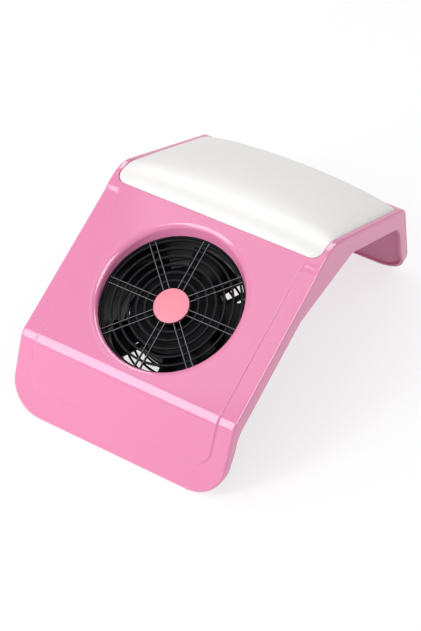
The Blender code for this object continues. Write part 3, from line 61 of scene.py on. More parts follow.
# The shell's side view, as in the frame.
WIDTH = 0.200
DEPTH = 0.3225
CREASE_HEIGHT = 0.0644
CREASE_SETBACK = 0.0224
CREST_HEIGHT = 0.1412
CREST_SETBACK = 0.168
REAR_HEIGHT = 0.0857
REAR_INSET = 0.0216
WALL = 0.0028
CREASE_RADIUS = 0.014
CREST_RADIUS = 0.030
REAR_RADIUS = 0.011
FOOT_CORNER_RADIUS = 0.030
FOOT_PROUD = 0.0008
STRIP_DROP = 0.0012
EDGE_RADIUS = 0.0018
RIM_RADIUS = 0.0007
INNER_RADIUS = 0.0010
HALF_WIDTH = WIDTH / 2
FRONT = -DEPTH / 2
REAR = DEPTH / 2
GAP = 0.0003
OVERRUN = 0.006

# Rows of the plate's grid, where a step of its surface is drawn.
STEP_PITCH = 0.0005

# Side skirts.
SKIRT_DEPTH = 0.0172
LEG_SKIRT_DEPTH = 0.0126
SKIRT_KNEE_SETBACK = 0.1205
SKIRT_ARCH_SETBACK = 0.2035
APRON_SKIRT_DEPTH = 0.0125
SKIRT_TAPER_HEIGHT = 0.036
ARCH_RADIUS = 0.021
KNEE_RADIUS = 0.012
APRON_SKIRT_RADIUS = 0.016
FOOT_LIP = 0.0015

# Raised panel.
STRIP_WIDTH = 0.0147
STRIP_TOP = 0.1450
STRIP_RAMP = 0.0095
STRIP_CORNER_RADIUS = 0.009
STEP_WIDTH = 0.0012
PANEL_FOOT = 0.0255
PANEL_CORNER_RADIUS = 0.015
PANEL_FOOT_STEP = 0.0040

# Fan well.
WELL_RADIUS = 0.0604
WELL_CENTRE = 0.0764
WELL_DEPTH = 0.0095
WELL_LIP_RADIUS = 0.0055
WELL_STEPS = 192
LIP_STEPS = 14

# Tray and padded rest.
TRAY_START = 0.1475
TRAY_REAR_MARGIN = 0.0105
TRAY_DEPTH = 0.0050
RAIL_WIDTH = 0.0047
TRAY_CORNER_RADIUS = 0.009
BASE_THICKNESS = 0.0030
PAD_SEAT_GAP = 0.0006
PAD_CROWN = 0.0120
PAD_EDGE_DEPTH = 0.0004
PAD_REAR_BULGE = 0.0050
PAD_REAR_REACH = 0.022
PAD_SIDE_POWER = 0.52
PAD_FRONT_RISE = 0.045
PAD_REAR_RISE = 0.016
PAD_FRONT_POWER = 0.75
PAD_PITCH = 0.0034
PAD_FRAMES = 20
PAD_SWELL_CAP = 0.0012
PAD_SCREW_INSET = 0.030
PAD_SCREW_SHARES = (0.243, 0.764)
PAD_SCREW_RADIUS = 0.0015
PAD_SCREW_HEAD_RADIUS = 0.0028
PAD_SCREW_HEAD_HEIGHT = 0.0018
PAD_SCREW_BITE = 0.0022

# Axial fan.
FAN_SIZE = 0.120
FAN_THICKNESS = 0.038
FAN_HOLE_SPACING = 0.105
FAN_HOLE_RADIUS = 0.00215
FAN_CORNER_RADIUS = 0.004
FAN_FLANGE = 0.0050
FAN_BORE_RADIUS = 0.0585
FAN_BARREL_WALL = 0.0013
MOTOR_BASE_RADIUS = 0.0384
MOTOR_BASE_THICKNESS = 0.0030
STRUT_WIDTH = 0.0042
STRUT_COUNT = 4
STRUT_ROTATION = math.radians(51)
HUB_RADIUS = 0.0382
HUB_WALL = 0.0022
HUB_TOP_CLEARANCE = 0.0080
HUB_BOTTOM_CLEARANCE = 0.0022
HUB_TOP_ROUNDING = 0.0030
BLADE_COUNT = 5
BLADE_TIP_CLEARANCE = 0.0014
BLADE_THICKNESS = 0.0018
BLADE_EDGE_SHARE = 0.35
BLADE_ROOT_HEIGHT = 0.0215
BLADE_TIP_HEIGHT = 0.0205
BLADE_TURN = math.radians(44.6)
BLADE_CAMBER = 0.0020
BLADE_ROTATION = math.radians(8.4)
SHAFT_RADIUS = 0.0020
BEARING_RADIUS = 0.0055
BEARING_TUBE_WALL = 0.0012
YOKE_WALL = 0.0012
BOARD_THICKNESS = 0.0016
FRAME_BEVEL = 0.00035
GRILLE_BEVEL = 0.0003

# Guard and badge.
GUARD_FLANGE = 0.0024
GUARD_FLANGE_RADIUS = 0.0660
GUARD_RIM_RADIUS = 0.0592
GUARD_RING_PITCH = 0.00707
GUARD_RING_COUNT = 6
GUARD_RING_WIDTH = 0.0018
GUARD_RING_STEP = 0.0004
SPOKE_COUNT = 8
SPOKE_PAIR_SPACING = 0.0050
SPOKE_WIDTH = 0.0011
SPOKE_CHAMFER = 0.00036
RIB_LIP = 0.00042
RIB_CHAMFER = 0.00022
BADGE_RADIUS = 0.0148
BADGE_THICKNESS = 0.0012
BADGE_EDGE = 0.0004
GUARD_HUB_MARGIN = 0.0008

# Rear grille and exhaust collar.
GRILLE_THICKNESS = 0.0024
COLLAR_RADIUS = 0.0580
COLLAR_WALL = 0.0018
COLLAR_LENGTH = 0.0120
COLLAR_BEAD = 0.0016
COLLAR_BEAD_LENGTH = 0.0022
COLLAR_EDGE = 0.0003
GRILLE_RING_FIRST = 0.0395
GRILLE_RING_PITCH = 0.0060
GRILLE_RING_COUNT = 3
GRILLE_BAR_WIDTH = 0.0018
GRILLE_BAR_COUNT = 6

# Fan screws, and the shell's bosses that they enter.
BOSS_RADIUS = 0.0045
BOSS_HOLE_RADIUS = 0.00205
FAN_SCREW_RADIUS = 0.00175
FAN_SCREW_HEAD_RADIUS = 0.0036
FAN_SCREW_HEAD_HEIGHT = 0.0022
FAN_SCREW_BITE = 0.0080
THREAD_PITCH = 0.0011
THREAD_DEPTH = 0.0002
SCREW_DOME_SHARE = 0.6
SCREW_TIP_SHARE = 0.45
RECESS_WIDTH = 0.0009
RECESS_DEPTH = 0.0011
RECESS_LENGTH_SHARE = 1.15

# Feet, switch and inlet.
FOOT_RADIUS = 0.0050
FOOT_POCKET = 0.0014
FOOT_EDGE = 0.0005
FRONT_FOOT_INSET = 0.040
REAR_FOOT_INSET = 0.070
FOOT_SHELF = 0.0030
FOOT_SHELF_WIDTH = 0.0140
FOOT_SHELF_REACH = 0.0150
SHELF_LIFT = 0.0001
SWITCH_INSET = 0.064
INLET_INSET = 0.036
SWITCH_X = HALF_WIDTH - SWITCH_INSET
INLET_X = HALF_WIDTH - INLET_INSET
LEG_FITTING_HEIGHT = 0.044
SWITCH_LENGTH = 0.0190
SWITCH_WIDTH = 0.0126
INLET_FLANGE_RADIUS = 0.0062
INLET_FLANGE_THICKNESS = 0.0016
INLET_BARREL_RADIUS = 0.0040
INLET_BORE_RADIUS = 0.00275
INLET_LENGTH = 0.0120
INLET_BORE_DEPTH = 0.0095
INLET_EDGE = 0.0004

# Edges at least this sharp stay sharp, or are softened.
SHARP_ANGLE = math.radians(40)
TURNED_ANGLE = math.radians(35)
SHELL_ANGLE = math.radians(38)
BAR_ANGLE = math.radians(30)

# White levels of the surroundings and of the floor's own glow.
WORLD_LEVEL = 0.62
GLOW_SHARE = 0.62
GLOW_STRENGTH = 1.12
FLOOR_DROP = 0.0001
FLOOR_REACH = 12

QUARTER = math.pi / 2

# Fineness of turned pieces.
FINE_STEPS = 144
MIDDLE_STEPS = 96
SMALL_STEPS = 48
BLADE_SECTIONS = 10
BLADE_CHORD_POINTS = 17
CROWN_STEPS = 60
END_STEPS = 7
CORNER_ROWS = 20


def material(name, colour, roughness, metallic=0.0):
    made = bpy.data.materials.new(name)
    made.use_nodes = True
    shader = made.node_tree.nodes["Principled BSDF"]
    shader.inputs["Base Color"].default_value = (*colour, 1.0)
    shader.inputs["Roughness"].default_value = roughness
    shader.inputs["Metallic"].default_value = metallic
    return made


def principled(made):
    return made.node_tree.nodes["Principled BSDF"]


def node(tree, kind, **values):
    """A new node with its settings, or its inputs, whose blanks are written as _."""
    added = tree.nodes.new(kind)
    for name, value in values.items():
        if hasattr(added, name):
            setattr(added, name, value)
        else:
            added.inputs[name.replace("_", " ")].default_value = value
    return added


def link(tree, source, output, target, name):
    tree.links.new(source.outputs[output], target.inputs[name])


def noise(made, scale, detail=3.0):
    """A 3-D noise in object space, at a scale in features per metre."""
    tree = made.node_tree
    texture = node(tree, "ShaderNodeTexNoise", Scale=scale, Detail=detail, Roughness=0.5)
    link(tree, node(tree, "ShaderNodeTexCoord"), "Object", texture, "Vector")
    return texture


def vary_colour(made, colour, share, scale):
    """Slow, faint variation of a surface's colour."""
    tree = made.node_tree
    ramp = node(tree, "ShaderNodeMix", data_type="RGBA")
    ramp.inputs[6].default_value = (*[value * (1 - share) for value in colour], 1)
    ramp.inputs[7].default_value = (*[min(1, value * (1 + share)) for value in colour], 1)
    link(tree, noise(made, scale), "Fac", ramp, "Factor")
    link(tree, ramp, 2, principled(made), "Base Color")


def vary_roughness(made, low, high, scale):
    tree = made.node_tree
    spread_out = node(tree, "ShaderNodeMapRange", To_Min=low, To_Max=high)
    link(tree, noise(made, scale, 4.0), "Fac", spread_out, "Value")
    link(tree, spread_out, "Result", principled(made), "Roughness")


def bump(made, texture, output, strength, distance):
    """Relief from a texture, on top of what relief the surface has."""
    tree, normal = made.node_tree, principled(made).inputs["Normal"]
    relief = node(tree, "ShaderNodeBump", Strength=strength, Distance=distance)
    link(tree, texture, output, relief, "Height")
    if normal.links:
        tree.links.new(normal.links[0].from_socket, relief.inputs["Normal"])
    link(tree, relief, "Normal", principled(made), "Normal")


def surface(name, colour, roughness, tint, gloss, grain, metallic=0.0, shine=None):
    """A finish: tint is a share and scale, gloss two roughnesses and a scale, grain
    the scale, strength and depth of its relief."""
    made = material(name, colour, roughness, metallic)
    if tint:
        vary_colour(made, colour, *tint)
    vary_roughness(made, *gloss)
    scale, strength, depth = grain
    bump(made, noise(made, scale, 2.0), "Fac", strength, depth)
    if shine is not None:
        principled(made).inputs["Specular IOR Level"].default_value = shine
    return made


def leatherette():
    """Off-white leatherette with a fine pebbled grain."""
    colour = (0.88, 0.865, 0.845)
    made = material("white_leatherette", colour, 0.48)
    tree = made.node_tree
    vary_colour(made, colour, 0.015, 60)
    vary_roughness(made, 0.42, 0.56, 500)
    pebbles = node(tree, "ShaderNodeTexVoronoi", feature="DISTANCE_TO_EDGE", Scale=1500)
    link(tree, node(tree, "ShaderNodeTexCoord"), "Object", pebbles, "Vector")
    bump(made, pebbles, "Distance", 0.22, 0.00012)
    bump(made, noise(made, 420, 4.0), "Fac", 0.12, 0.00025)
    principled(made).inputs["Sheen Weight"].default_value = 0.08
    return made


def black_moulding(name, colour, low, high, shine=0.12):
    """Black moulded plastic with a fine spark-eroded texture."""
    return surface(name, colour, (low + high) / 2, None, (low, high, 900), (2600, 0.10, 0.0001),
                   shine=shine)


def metal(name, colour, roughness):
    return surface(name, colour, roughness, None, (roughness * 0.8, roughness * 1.25, 900),
                   (1800, 0.06, 0.0001), metallic=1.0)


def plain_moulding(name, colour, roughness):
    return surface(name, colour, roughness, (0.05, 300),
                   (roughness * 0.85, roughness * 1.15, 700), (1500, 0.08, 0.0001))


def finishes():
    """Every slot's finish, and the guard's painted highlight greys, by name."""
    found = {
        "shell_pink": surface("pink_gloss", (0.85, 0.272, 0.475), 0.08, (0.012, 22),
                              (0.07, 0.10, 140), (260, 0.02, 0.0004)),
        "badge_salmon": surface("salmon_disc", (0.93, 0.27, 0.36), 0.36, (0.02, 160),
                                (0.32, 0.42, 700), (1800, 0.05, 0.0001)),
        "pad_leatherette": leatherette(),
    }
    for make, rows in (
            (black_moulding, (
                ("guard_black", (0.004, 0.004, 0.006), 0.34, 0.46),
                # The next two lighter greys are painted highlights for the tops of the guard's
                # spokes and ring lips.
                ("guard_edge", (0.26, 0.265, 0.275), 0.30, 0.42),
                ("guard_lip", (0.055, 0.057, 0.062), 0.30, 0.42),
                ("fan_black", (0.002, 0.002, 0.003), 0.34, 0.48, 0.08),
                ("switch_black", (0.014, 0.014, 0.016), 0.28, 0.40, 0.4))),
            (metal, (
                ("motor_steel", (0.50, 0.50, 0.52), 0.32),
                ("lamination", (0.30, 0.31, 0.33), 0.45),
                ("coil_copper", (0.72, 0.30, 0.12), 0.32),
                ("screw_zinc", (0.62, 0.62, 0.60), 0.30),
                ("terminal_brass", (0.72, 0.52, 0.20), 0.30))),
            (plain_moulding, (
                ("carrier_grey", (0.35, 0.35, 0.36), 0.6),
                ("ferrite", (0.045, 0.042, 0.040), 0.7),
                ("board_green", (0.03, 0.20, 0.08), 0.45),
                ("lead_red", (0.42, 0.02, 0.02), 0.45),
                ("lead_black", (0.02, 0.02, 0.022), 0.45),
                ("foot_rubber", (0.018, 0.018, 0.018), 0.75)))):
        for name, *values in rows:
            found[name] = make(name, *values)
    return found


MATERIALS = finishes()
SLOTS = {part["node"]: part["material_slot"] for part in frame["record"]["subparts"]}


def dress_cad_nodes():
    for name, item in frame["nodes"].items():
        item.data.materials.clear()
        item.data.materials.append(MATERIALS[SLOTS[name]])


def collection(name):
    made = bpy.data.collections.new(name)
    bpy.context.scene.collection.children.link(made)
    return made


PIECES = collection("pieces")
ADDED = collection("shell_added")
REMOVED = collection("shell_removed")
for cutters in (ADDED, REMOVED):
    cutters.hide_render = True


def add_object(name, data, home):
    made = bpy.data.objects.new(name, data)
    home.objects.link(made)
    return made


def mesh_from(name, shape, smooth_angle=None):
    bmesh.ops.recalc_face_normals(shape, faces=shape.faces)
    mesh = bpy.data.meshes.new(name)
    shape.to_mesh(mesh)
    shape.free()
    if smooth_angle is not None:
        mesh.shade_smooth()
        mesh.set_sharp_from_angle(angle=smooth_angle)
    return mesh


def rounded(corners, radii, steps=12):
    """The corners of an open path with an arc of the given radius at each."""
    points = []
    for index, (corner, radius) in enumerate(zip(corners, radii)):
        here = Vector(corner)
        if radius == 0 or index in (0, len(corners) - 1):
            points.append(here)
            continue
        back = (Vector(corners[index - 1]) - here).normalized()
        ahead = (Vector(corners[index + 1]) - here).normalized()
        half = back.angle(ahead) / 2
        centre = here + (back + ahead).normalized() * (radius / math.sin(half))
        start = here + back * (radius / math.tan(half)) - centre
        finish = here + ahead * (radius / math.tan(half)) - centre
        turn = start.angle_signed(finish)
        for step in range(steps + 1):
            points.append(centre + Matrix.Rotation(-turn * step / steps, 2) @ start)
    return points


def arc(x, y, radius, start, finish, steps, height=None):
    """Points of an arc, or of an ellipse's, between angles in quarter turns."""
    height = radius if height is None else height
    angles = [QUARTER * (start + (finish - start) * step / steps)
              for step in range(steps + 1)]
    return [(x + radius * math.cos(angle), y + height * math.sin(angle)) for angle in angles]


def bridge(shape, rings):
    """Faces from each closed ring of vertices to the next."""
    for near, far in zip(rings, rings[1:]):
        for index in range(len(near)):
            ahead = (index + 1) % len(near)
            shape.faces.new((near[index], near[ahead], far[ahead], far[index]))


def lattice(shape, grid):
    """Faces over a grid of vertices."""
    for near, far in zip(grid, grid[1:]):
        for index in range(len(near) - 1):
            shape.faces.new((near[index], near[index + 1], far[index + 1], far[index]))


def measured(points):
    """Points of the side view, with their distances along them."""
    travelled = [0.0]
    for a, b in zip(points, points[1:]):
        travelled.append(travelled[-1] + (b - a).length)
    return points, travelled


def locate(stops, value):
    """The gap between stops that a value falls in, and how far it is through it."""
    index = 0
    while index < len(stops) - 2 and value > stops[index + 1]:
        index += 1
    return index, (value - stops[index]) / (stops[index + 1] - stops[index])


def clamped(share):
    return max(0.0, min(1.0, share))


def crossing(point_a, along_a, point_b, along_b):
    """Where two lines of the side view meet."""
    sideways = Vector((-along_b.y, along_b.x))
    return point_a + along_a * ((point_b - point_a).dot(sideways) / along_a.dot(sideways))


APRON_FOOT = Vector((FRONT - STRIP_DROP, FOOT_PROUD))
CREASE = Vector((FRONT + CREASE_SETBACK, FOOT_PROUD + CREASE_HEIGHT))
CREST = Vector((FRONT + CREST_SETBACK, FOOT_PROUD + CREST_HEIGHT))
REAR_CORNER = Vector((REAR - REAR_INSET, FOOT_PROUD + REAR_HEIGHT))
LEG_FOOT = Vector((REAR, FOOT_PROUD))
CORNERS = [APRON_FOOT, CREASE, CREST, REAR_CORNER, LEG_FOOT]
RADII = [0, CREASE_RADIUS, CREST_RADIUS, REAR_RADIUS, 0]
ALONG = [(b - a).normalized() for a, b in zip(CORNERS, CORNERS[1:])]
INWARD = [Vector((run.y, -run.x)) for run in ALONG]
LENGTHS = [(b - a).length for a, b in zip(CORNERS, CORNERS[1:])]
SLOPE = math.atan2(ALONG[1].y, ALONG[1].x)

# A run is a distance along the side view's sharp corners, from the crease.
RUNS = [-LENGTHS[0], 0, LENGTHS[1], LENGTHS[1] + LENGTHS[2], sum(LENGTHS[1:])]


def place_at(run):
    """The side view's point at a run, and its way along and inward."""
    for index in range(1, 4):
        turn = ALONG[index - 1].angle_signed(ALONG[index])
        reach = RADII[index] * math.tan(abs(turn) / 2)
        if abs(run - RUNS[index]) < reach:
            share = (run - RUNS[index] + reach) / (2 * reach)
            start = CORNERS[index] - ALONG[index - 1] * reach
            centre = start + INWARD[index - 1] * RADII[index]
            spin = Matrix.Rotation(-turn * share, 2)
            inward = spin @ INWARD[index - 1]
            return centre - inward * RADII[index], spin @ ALONG[index - 1], inward
    stretch = 0
    while stretch < 3 and run > RUNS[stretch + 1]:
        stretch += 1
    point = CORNERS[stretch] + ALONG[stretch] * (run - RUNS[stretch])
    return point, ALONG[stretch], INWARD[stretch]


def smooth(share):
    share = clamped(share)
    return share * share * (3 - 2 * share)


def strip_drop(x, run):
    """How far the surface lies below the raised panel there."""
    half = HALF_WIDTH - STRIP_WIDTH
    x = abs(x)
    flare = STRIP_CORNER_RADIUS
    if x < half + flare and run > STRIP_TOP - flare:
        inside = flare - math.hypot(half + flare - x, run - STRIP_TOP + flare)
    else:
        inside = min(x - half, STRIP_TOP - run)
    ramp = smooth((STRIP_TOP - run) / STRIP_RAMP)
    side = smooth(inside / STEP_WIDTH + 0.5) * ramp
    foot_run = run + LENGTHS[0]
    radius = PANEL_CORNER_RADIUS
    over_x = x - (half - radius)
    over_run = PANEL_FOOT + radius - foot_run
    if over_x > 0 and over_run > 0:
        outside = math.hypot(over_x, over_run) - radius
        blend = over_run / math.hypot(over_x, over_run)
    else:
        outside = PANEL_FOOT - foot_run
        blend = 1.0
    width = STEP_WIDTH + (PANEL_FOOT_STEP - STEP_WIDTH) * blend ** 2
    foot = smooth(outside / width + 0.5)
    return STRIP_DROP * max(side, foot)


def spread(low, high, pitch):
    """Evenly spaced values from low up to but without high."""
    count = max(1, round((high - low) / pitch))
    return [low + (high - low) * step / count for step in range(count)]


def grid_columns():
    """Places across half the plate: plain ones, then shares of its rounded corner."""
    flat = HALF_WIDTH - FOOT_CORNER_RADIUS
    plain = spread(0, flat - 0.004, 0.011) + spread(flat - 0.004, flat, 0.002)
    shares = spread(0, 1, 0.016) + [1.0]
    return plain, shares


def grid_rows():
    """Shares of the front corner, then runs up to the rear one, then its shares."""
    shares = [1 - step / CORNER_ROWS for step in range(CORNER_ROWS)]
    end = RUNS[4] - FOOT_CORNER_RADIUS
    panel_foot = RUNS[0] + PANEL_FOOT + PANEL_CORNER_RADIUS + 0.002
    runs = spread(RUNS[0] + FOOT_CORNER_RADIUS, panel_foot, STEP_PITCH)
    stops = [(runs[-1] + STEP_PITCH, 0.004), (-0.007, 0.0007), (0.007, 0.012),
             (STRIP_TOP - STRIP_RAMP - 0.002, STEP_PITCH), (STRIP_TOP + 0.001, 0.0012),
             (LENGTHS[1] + 0.018, 0.012), (RUNS[3] - 0.036, 0.0016), (RUNS[3] - 0.008, 0.0010),
             (RUNS[3] + 0.008, 0.0016), (end, 0)]
    for (low, pitch), (high, _) in zip(stops, stops[1:]):
        runs += spread(low, high, pitch)
    return shares, runs + [end]


def plate_point(column, row, inset):
    """Where a grid place lies across the plate and along it, inset from its edge.

    A column is a distance, or a share past the flat; a row is a run, or a share
    of the front or rear corner.
    """
    side, across, corner_across = column
    kind, value = row
    reach = FOOT_CORNER_RADIUS - inset
    flat = HALF_WIDTH - FOOT_CORNER_RADIUS
    if kind == "run":
        return side * (flat + across * reach if corner_across else across), value
    base = RUNS[0] + FOOT_CORNER_RADIUS if kind == "front" else RUNS[4] - FOOT_CORNER_RADIUS
    way = -1 if kind == "front" else 1
    if not corner_across:
        return side * across, base + way * value * reach
    wide = across * math.sqrt(1 - value * value / 2)
    long = value * math.sqrt(1 - across * across / 2)
    return side * (flat + wide * reach), base + way * long * reach


def to_world(x, run, depth):
    point, _, inward = place_at(run)
    return Vector((x, *(point + inward * depth)))


def skirt_path():
    """The skirts' lower edge as points with their distances along it, and its keys."""
    rail_line = CREST + INWARD[2] * SKIRT_DEPTH
    slope_line = CREASE + INWARD[1] * SKIRT_DEPTH
    leg_line = REAR_CORNER + INWARD[3] * LEG_SKIRT_DEPTH
    apron_line = APRON_FOOT + INWARD[0] * APRON_SKIRT_DEPTH
    level = Vector((1, 0))
    upright = Vector((0, 1))
    taper = Vector((FRONT, FOOT_PROUD + SKIRT_TAPER_HEIGHT))
    foot_depth = WALL + FOOT_LIP
    corners = [
        crossing(APRON_FOOT + INWARD[0] * foot_depth, ALONG[0], LEG_FOOT, level),
        crossing(apron_line, ALONG[0], taper, level),
        crossing(slope_line, ALONG[1], apron_line, ALONG[0]),
        crossing(slope_line, ALONG[1], Vector((FRONT + SKIRT_KNEE_SETBACK, 0)), upright),
        crossing(rail_line, ALONG[2], Vector((FRONT + SKIRT_ARCH_SETBACK, 0)), upright),
        crossing(rail_line, ALONG[2], leg_line, ALONG[3]),
        crossing(leg_line, ALONG[3], taper, level),
        crossing(LEG_FOOT + INWARD[3] * foot_depth, ALONG[3], LEG_FOOT, level),
    ]
    radii = [0, APRON_SKIRT_RADIUS, APRON_SKIRT_RADIUS, KNEE_RADIUS, KNEE_RADIUS, ARCH_RADIUS,
             APRON_SKIRT_RADIUS, 0]
    points, travelled = measured(rounded(corners, radii))
    keys = [min(range(len(points)), key=lambda i: (points[i] - corner).length)
            for corner in corners]
    knee_run = (SKIRT_KNEE_SETBACK - CREASE_SETBACK) / math.cos(SLOPE)
    apron_taper = (corners[1] - corners[0]).dot(ALONG[0])
    leg_taper = (corners[7] - corners[6]).dot(ALONG[3])
    runs = [RUNS[0], RUNS[0] + apron_taper, 0, knee_run, RUNS[2] + CREST_RADIUS / 2, RUNS[3],
            RUNS[4] - leg_taper, RUNS[4]]
    return points, travelled, [travelled[key] for key in keys], runs


SKIRT = skirt_path()


def skirt_point(run):
    """The lower edge's point in the side view that belongs to a run of the plate."""
    points, travelled, key_distances, key_runs = SKIRT
    index, share = locate(key_runs, run)
    start, finish = key_distances[index:index + 2]
    piece, part = locate(travelled, start + clamped(share) * (finish - start))
    return points[piece].lerp(points[piece + 1], clamped(part))


def boundary_places(last_column, last_row):
    """A grid's outer loop, as pairs of row and column."""
    loop = [(row, last_column) for row in range(last_row + 1)]
    loop += [(last_row, column) for column in range(last_column - 1, -1, -1)]
    loop += [(row, 0) for row in range(last_row - 1, -1, -1)]
    loop += [(0, column) for column in range(1, last_column)]
    return loop


def shell_skin():
    """The shell's outer and inner skins, its rolled edges and its skirts, closed."""
    plain, shares = grid_columns()
    half = [(x, False) for x in plain] + [(share, True) for share in shares]
    columns = [(-1, *item) for item in half[:0:-1]] + [(1, *item) for item in half]
    corner_shares, runs = grid_rows()
    rows = [("front", share) for share in corner_shares]
    rows += [("run", run) for run in runs]
    rows += [("rear", share) for share in corner_shares[::-1]]
    shape = bmesh.new()
    inner_inset = WALL + INNER_RADIUS
    outer, inner = [], []
    for row in rows:
        outer_row, inner_row = [], []
        for column in columns:
            x, run = plate_point(column, row, EDGE_RADIUS)
            outer_row.append(shape.verts.new(to_world(x, run, strip_drop(x, run))))
            x, run = plate_point(column, row, inner_inset)
            inner_row.append(shape.verts.new(to_world(x, run, WALL)))
        outer.append(outer_row)
        inner.append(inner_row)
    lattice(shape, outer)
    lattice(shape, inner)
    loop = boundary_places(len(columns) - 1, len(rows) - 1)
    rings = [[outer[row][column] for row, column in loop]]
    sections = [edge_section(columns[column], rows[row]) for row, column in loop]
    for level in range(len(sections[0])):
        rings.append([shape.verts.new(section[level]) for section in sections])
    rings.append([inner[row][column] for row, column in loop])
    bridge(shape, rings)
    return add_object("shell", mesh_from("shell", shape), PIECES)


def edge_section(column, row):
    """The rolled edge, skirt, rim and inner corner at one place of the outline."""
    side, across, corner_across = column
    kind, value = row
    x, run = plate_point(column, row, EDGE_RADIUS)
    point, along, inward = place_at(run)
    outline_x, outline_run = plate_point(column, row, 0)
    if kind != "run" and not (corner_across and across >= 1 and value <= 0):
        out_x, out_run = outline_x - x, outline_run - run
        size = math.hypot(out_x, out_run)
        out_x, out_run = out_x / size, out_run / size
    else:
        out_x, out_run = side, 0
    outward = Vector((out_x, *(along * out_run)))
    down = Vector((0, *inward))
    start = Vector((x, *point))
    drop = strip_drop(x, run)
    edge = start + outward * EDGE_RADIUS
    below = skirt_point(outline_run)
    if kind == "run":
        foot = Vector((edge.x, *below))
    else:
        edge_place, _, _ = place_at(outline_run)
        foot = edge + down * (below - edge_place).dot(inward)
    section = []
    steps = 6
    for step in range(1, steps + 1):
        angle = QUARTER * step / steps
        section.append(start + outward * (EDGE_RADIUS * math.sin(angle))
                       + down * (drop + EDGE_RADIUS * (1 - math.cos(angle))))
    up = (section[-1] - foot).normalized()
    for centre_in, first, second in ((RIM_RADIUS, outward, -up),
                                     (WALL - RIM_RADIUS, -up, -outward)):
        centre = foot - outward * centre_in + up * RIM_RADIUS
        for step in range(4):
            angle = QUARTER * step / 3
            section.append(centre + (first * math.cos(angle) + second * math.sin(angle))
                           * RIM_RADIUS)
    inner_edge = edge - outward * WALL
    for step in range(3):
        angle = QUARTER * step / 3
        section.append(inner_edge - outward * (INNER_RADIUS * (1 - math.cos(angle)))
                       + down * (WALL + INNER_RADIUS * (1 - math.sin(angle))))
    return section


def surface_frame(stretch, origin):
    """Axes on the shell: local Y runs up the stretch, local Z out of it."""
    up, out, x_axis = ALONG[stretch], -INWARD[stretch], Vector((1, 0, 0))
    if stretch == 3:
        up, x_axis = -up, -x_axis
    turn = Matrix((x_axis, Vector((0, *up)), Vector((0, *out)))).transposed().to_4x4()
    return Matrix.Translation(Vector((0, *origin))) @ turn


SIDE = Matrix((Vector((0, 1, 0)), Vector((0, 0, 1)), Vector((1, 0, 0)))).transposed().to_4x4()
PANEL = surface_frame(1, CREASE)
RAIL = surface_frame(2, CREST)
LEG = surface_frame(3, LEG_FOOT)
WELL = surface_frame(1, CREASE + ALONG[1] * WELL_CENTRE)
FAN = surface_frame(1, CREASE + ALONG[1] * (WELL_CENTRE - (WELL_DEPTH + GAP) * math.tan(SLOPE)))

# Levels along the fan's axis, counted down from the panel's surface.
GUARD_TOP = -(WELL_DEPTH + GAP)
GUARD_BOTTOM = GUARD_TOP - GUARD_FLANGE
BADGE_TOP = GUARD_TOP + GUARD_RING_STEP
FRAME_TOP = GUARD_BOTTOM - GAP
FRAME_BOTTOM = FRAME_TOP - FAN_THICKNESS
BASE_TOP = FRAME_BOTTOM + MOTOR_BASE_THICKNESS
GRILLE_TOP = FRAME_BOTTOM - GAP
GRILLE_BOTTOM = GRILLE_TOP - GRILLE_THICKNESS
COLLAR_BOTTOM = GRILLE_BOTTOM - COLLAR_LENGTH
HUB_TOP = FRAME_TOP - HUB_TOP_CLEARANCE
HUB_BOTTOM = BASE_TOP + GAP + BOARD_THICKNESS + HUB_BOTTOM_CLEARANCE
BEARING_TOP = HUB_TOP - HUB_WALL - YOKE_WALL - 2 * GAP - SHAFT_RADIUS
TUBE_BORE = BEARING_RADIUS + GAP
TUBE_RADIUS = TUBE_BORE + BEARING_TUBE_WALL
FAN_CORNERS = [(sx * FAN_HOLE_SPACING / 2, sy * FAN_HOLE_SPACING / 2)
               for sx in (-1, 1) for sy in (-1, 1)]


def slab(name, outline, low, high, place=FAN, home=PIECES):
    """A flat outline in local X and Y, drawn out from low to high along Z."""
    shape = bmesh.new()
    face = shape.faces.new([shape.verts.new((x, y, low)) for x, y in outline])
    drawn = bmesh.ops.extrude_face_region(shape, geom=[face])
    moved = [item for item in drawn["geom"] if isinstance(item, bmesh.types.BMVert)]
    bmesh.ops.translate(shape, verts=moved, vec=(0, 0, high - low))
    made = add_object(name, mesh_from(name, shape, SHARP_ANGLE), home)
    made.matrix_world = place
    return made


def turned(name, profile, steps, place=FAN, home=PIECES, closed=True, spot=(0, 0)):
    """A profile of radius and height pairs turned about local Z, as a mesh."""
    shape = bmesh.new()
    rings = []
    for radius, height in profile:
        if radius == 0:
            rings.append([shape.verts.new((*spot, height))] * steps)
            continue
        rings.append([shape.verts.new((spot[0] + radius * math.cos(math.tau * i / steps),
                                       spot[1] + radius * math.sin(math.tau * i / steps), height))
                      for i in range(steps)])
    pairs = list(zip(rings, rings[1:]))
    if closed:
        pairs.append((rings[-1], rings[0]))
    for near, far in pairs:
        for index in range(steps):
            ahead = (index + 1) % steps
            corners = [near[index], near[ahead], far[ahead], far[index]]
            unique = [c for i, c in enumerate(corners) if c not in corners[:i]]
            if len(unique) > 2:
                shape.faces.new(unique)
    made = add_object(name, mesh_from(name, shape, TURNED_ANGLE), home)
    made.matrix_world = place
    return made


def loft(name, rows, place=FAN, home=PIECES, sharp=SHARP_ANGLE):
    """A closed skin over rows of points, with a flat face at either end."""
    shape = bmesh.new()
    rings = [[shape.verts.new(point) for point in row] for row in rows]
    bridge(shape, rings)
    shape.faces.new(rings[0][::-1])
    shape.faces.new(rings[-1])
    made = add_object(name, mesh_from(name, shape, sharp), home)
    made.matrix_world = place
    return made


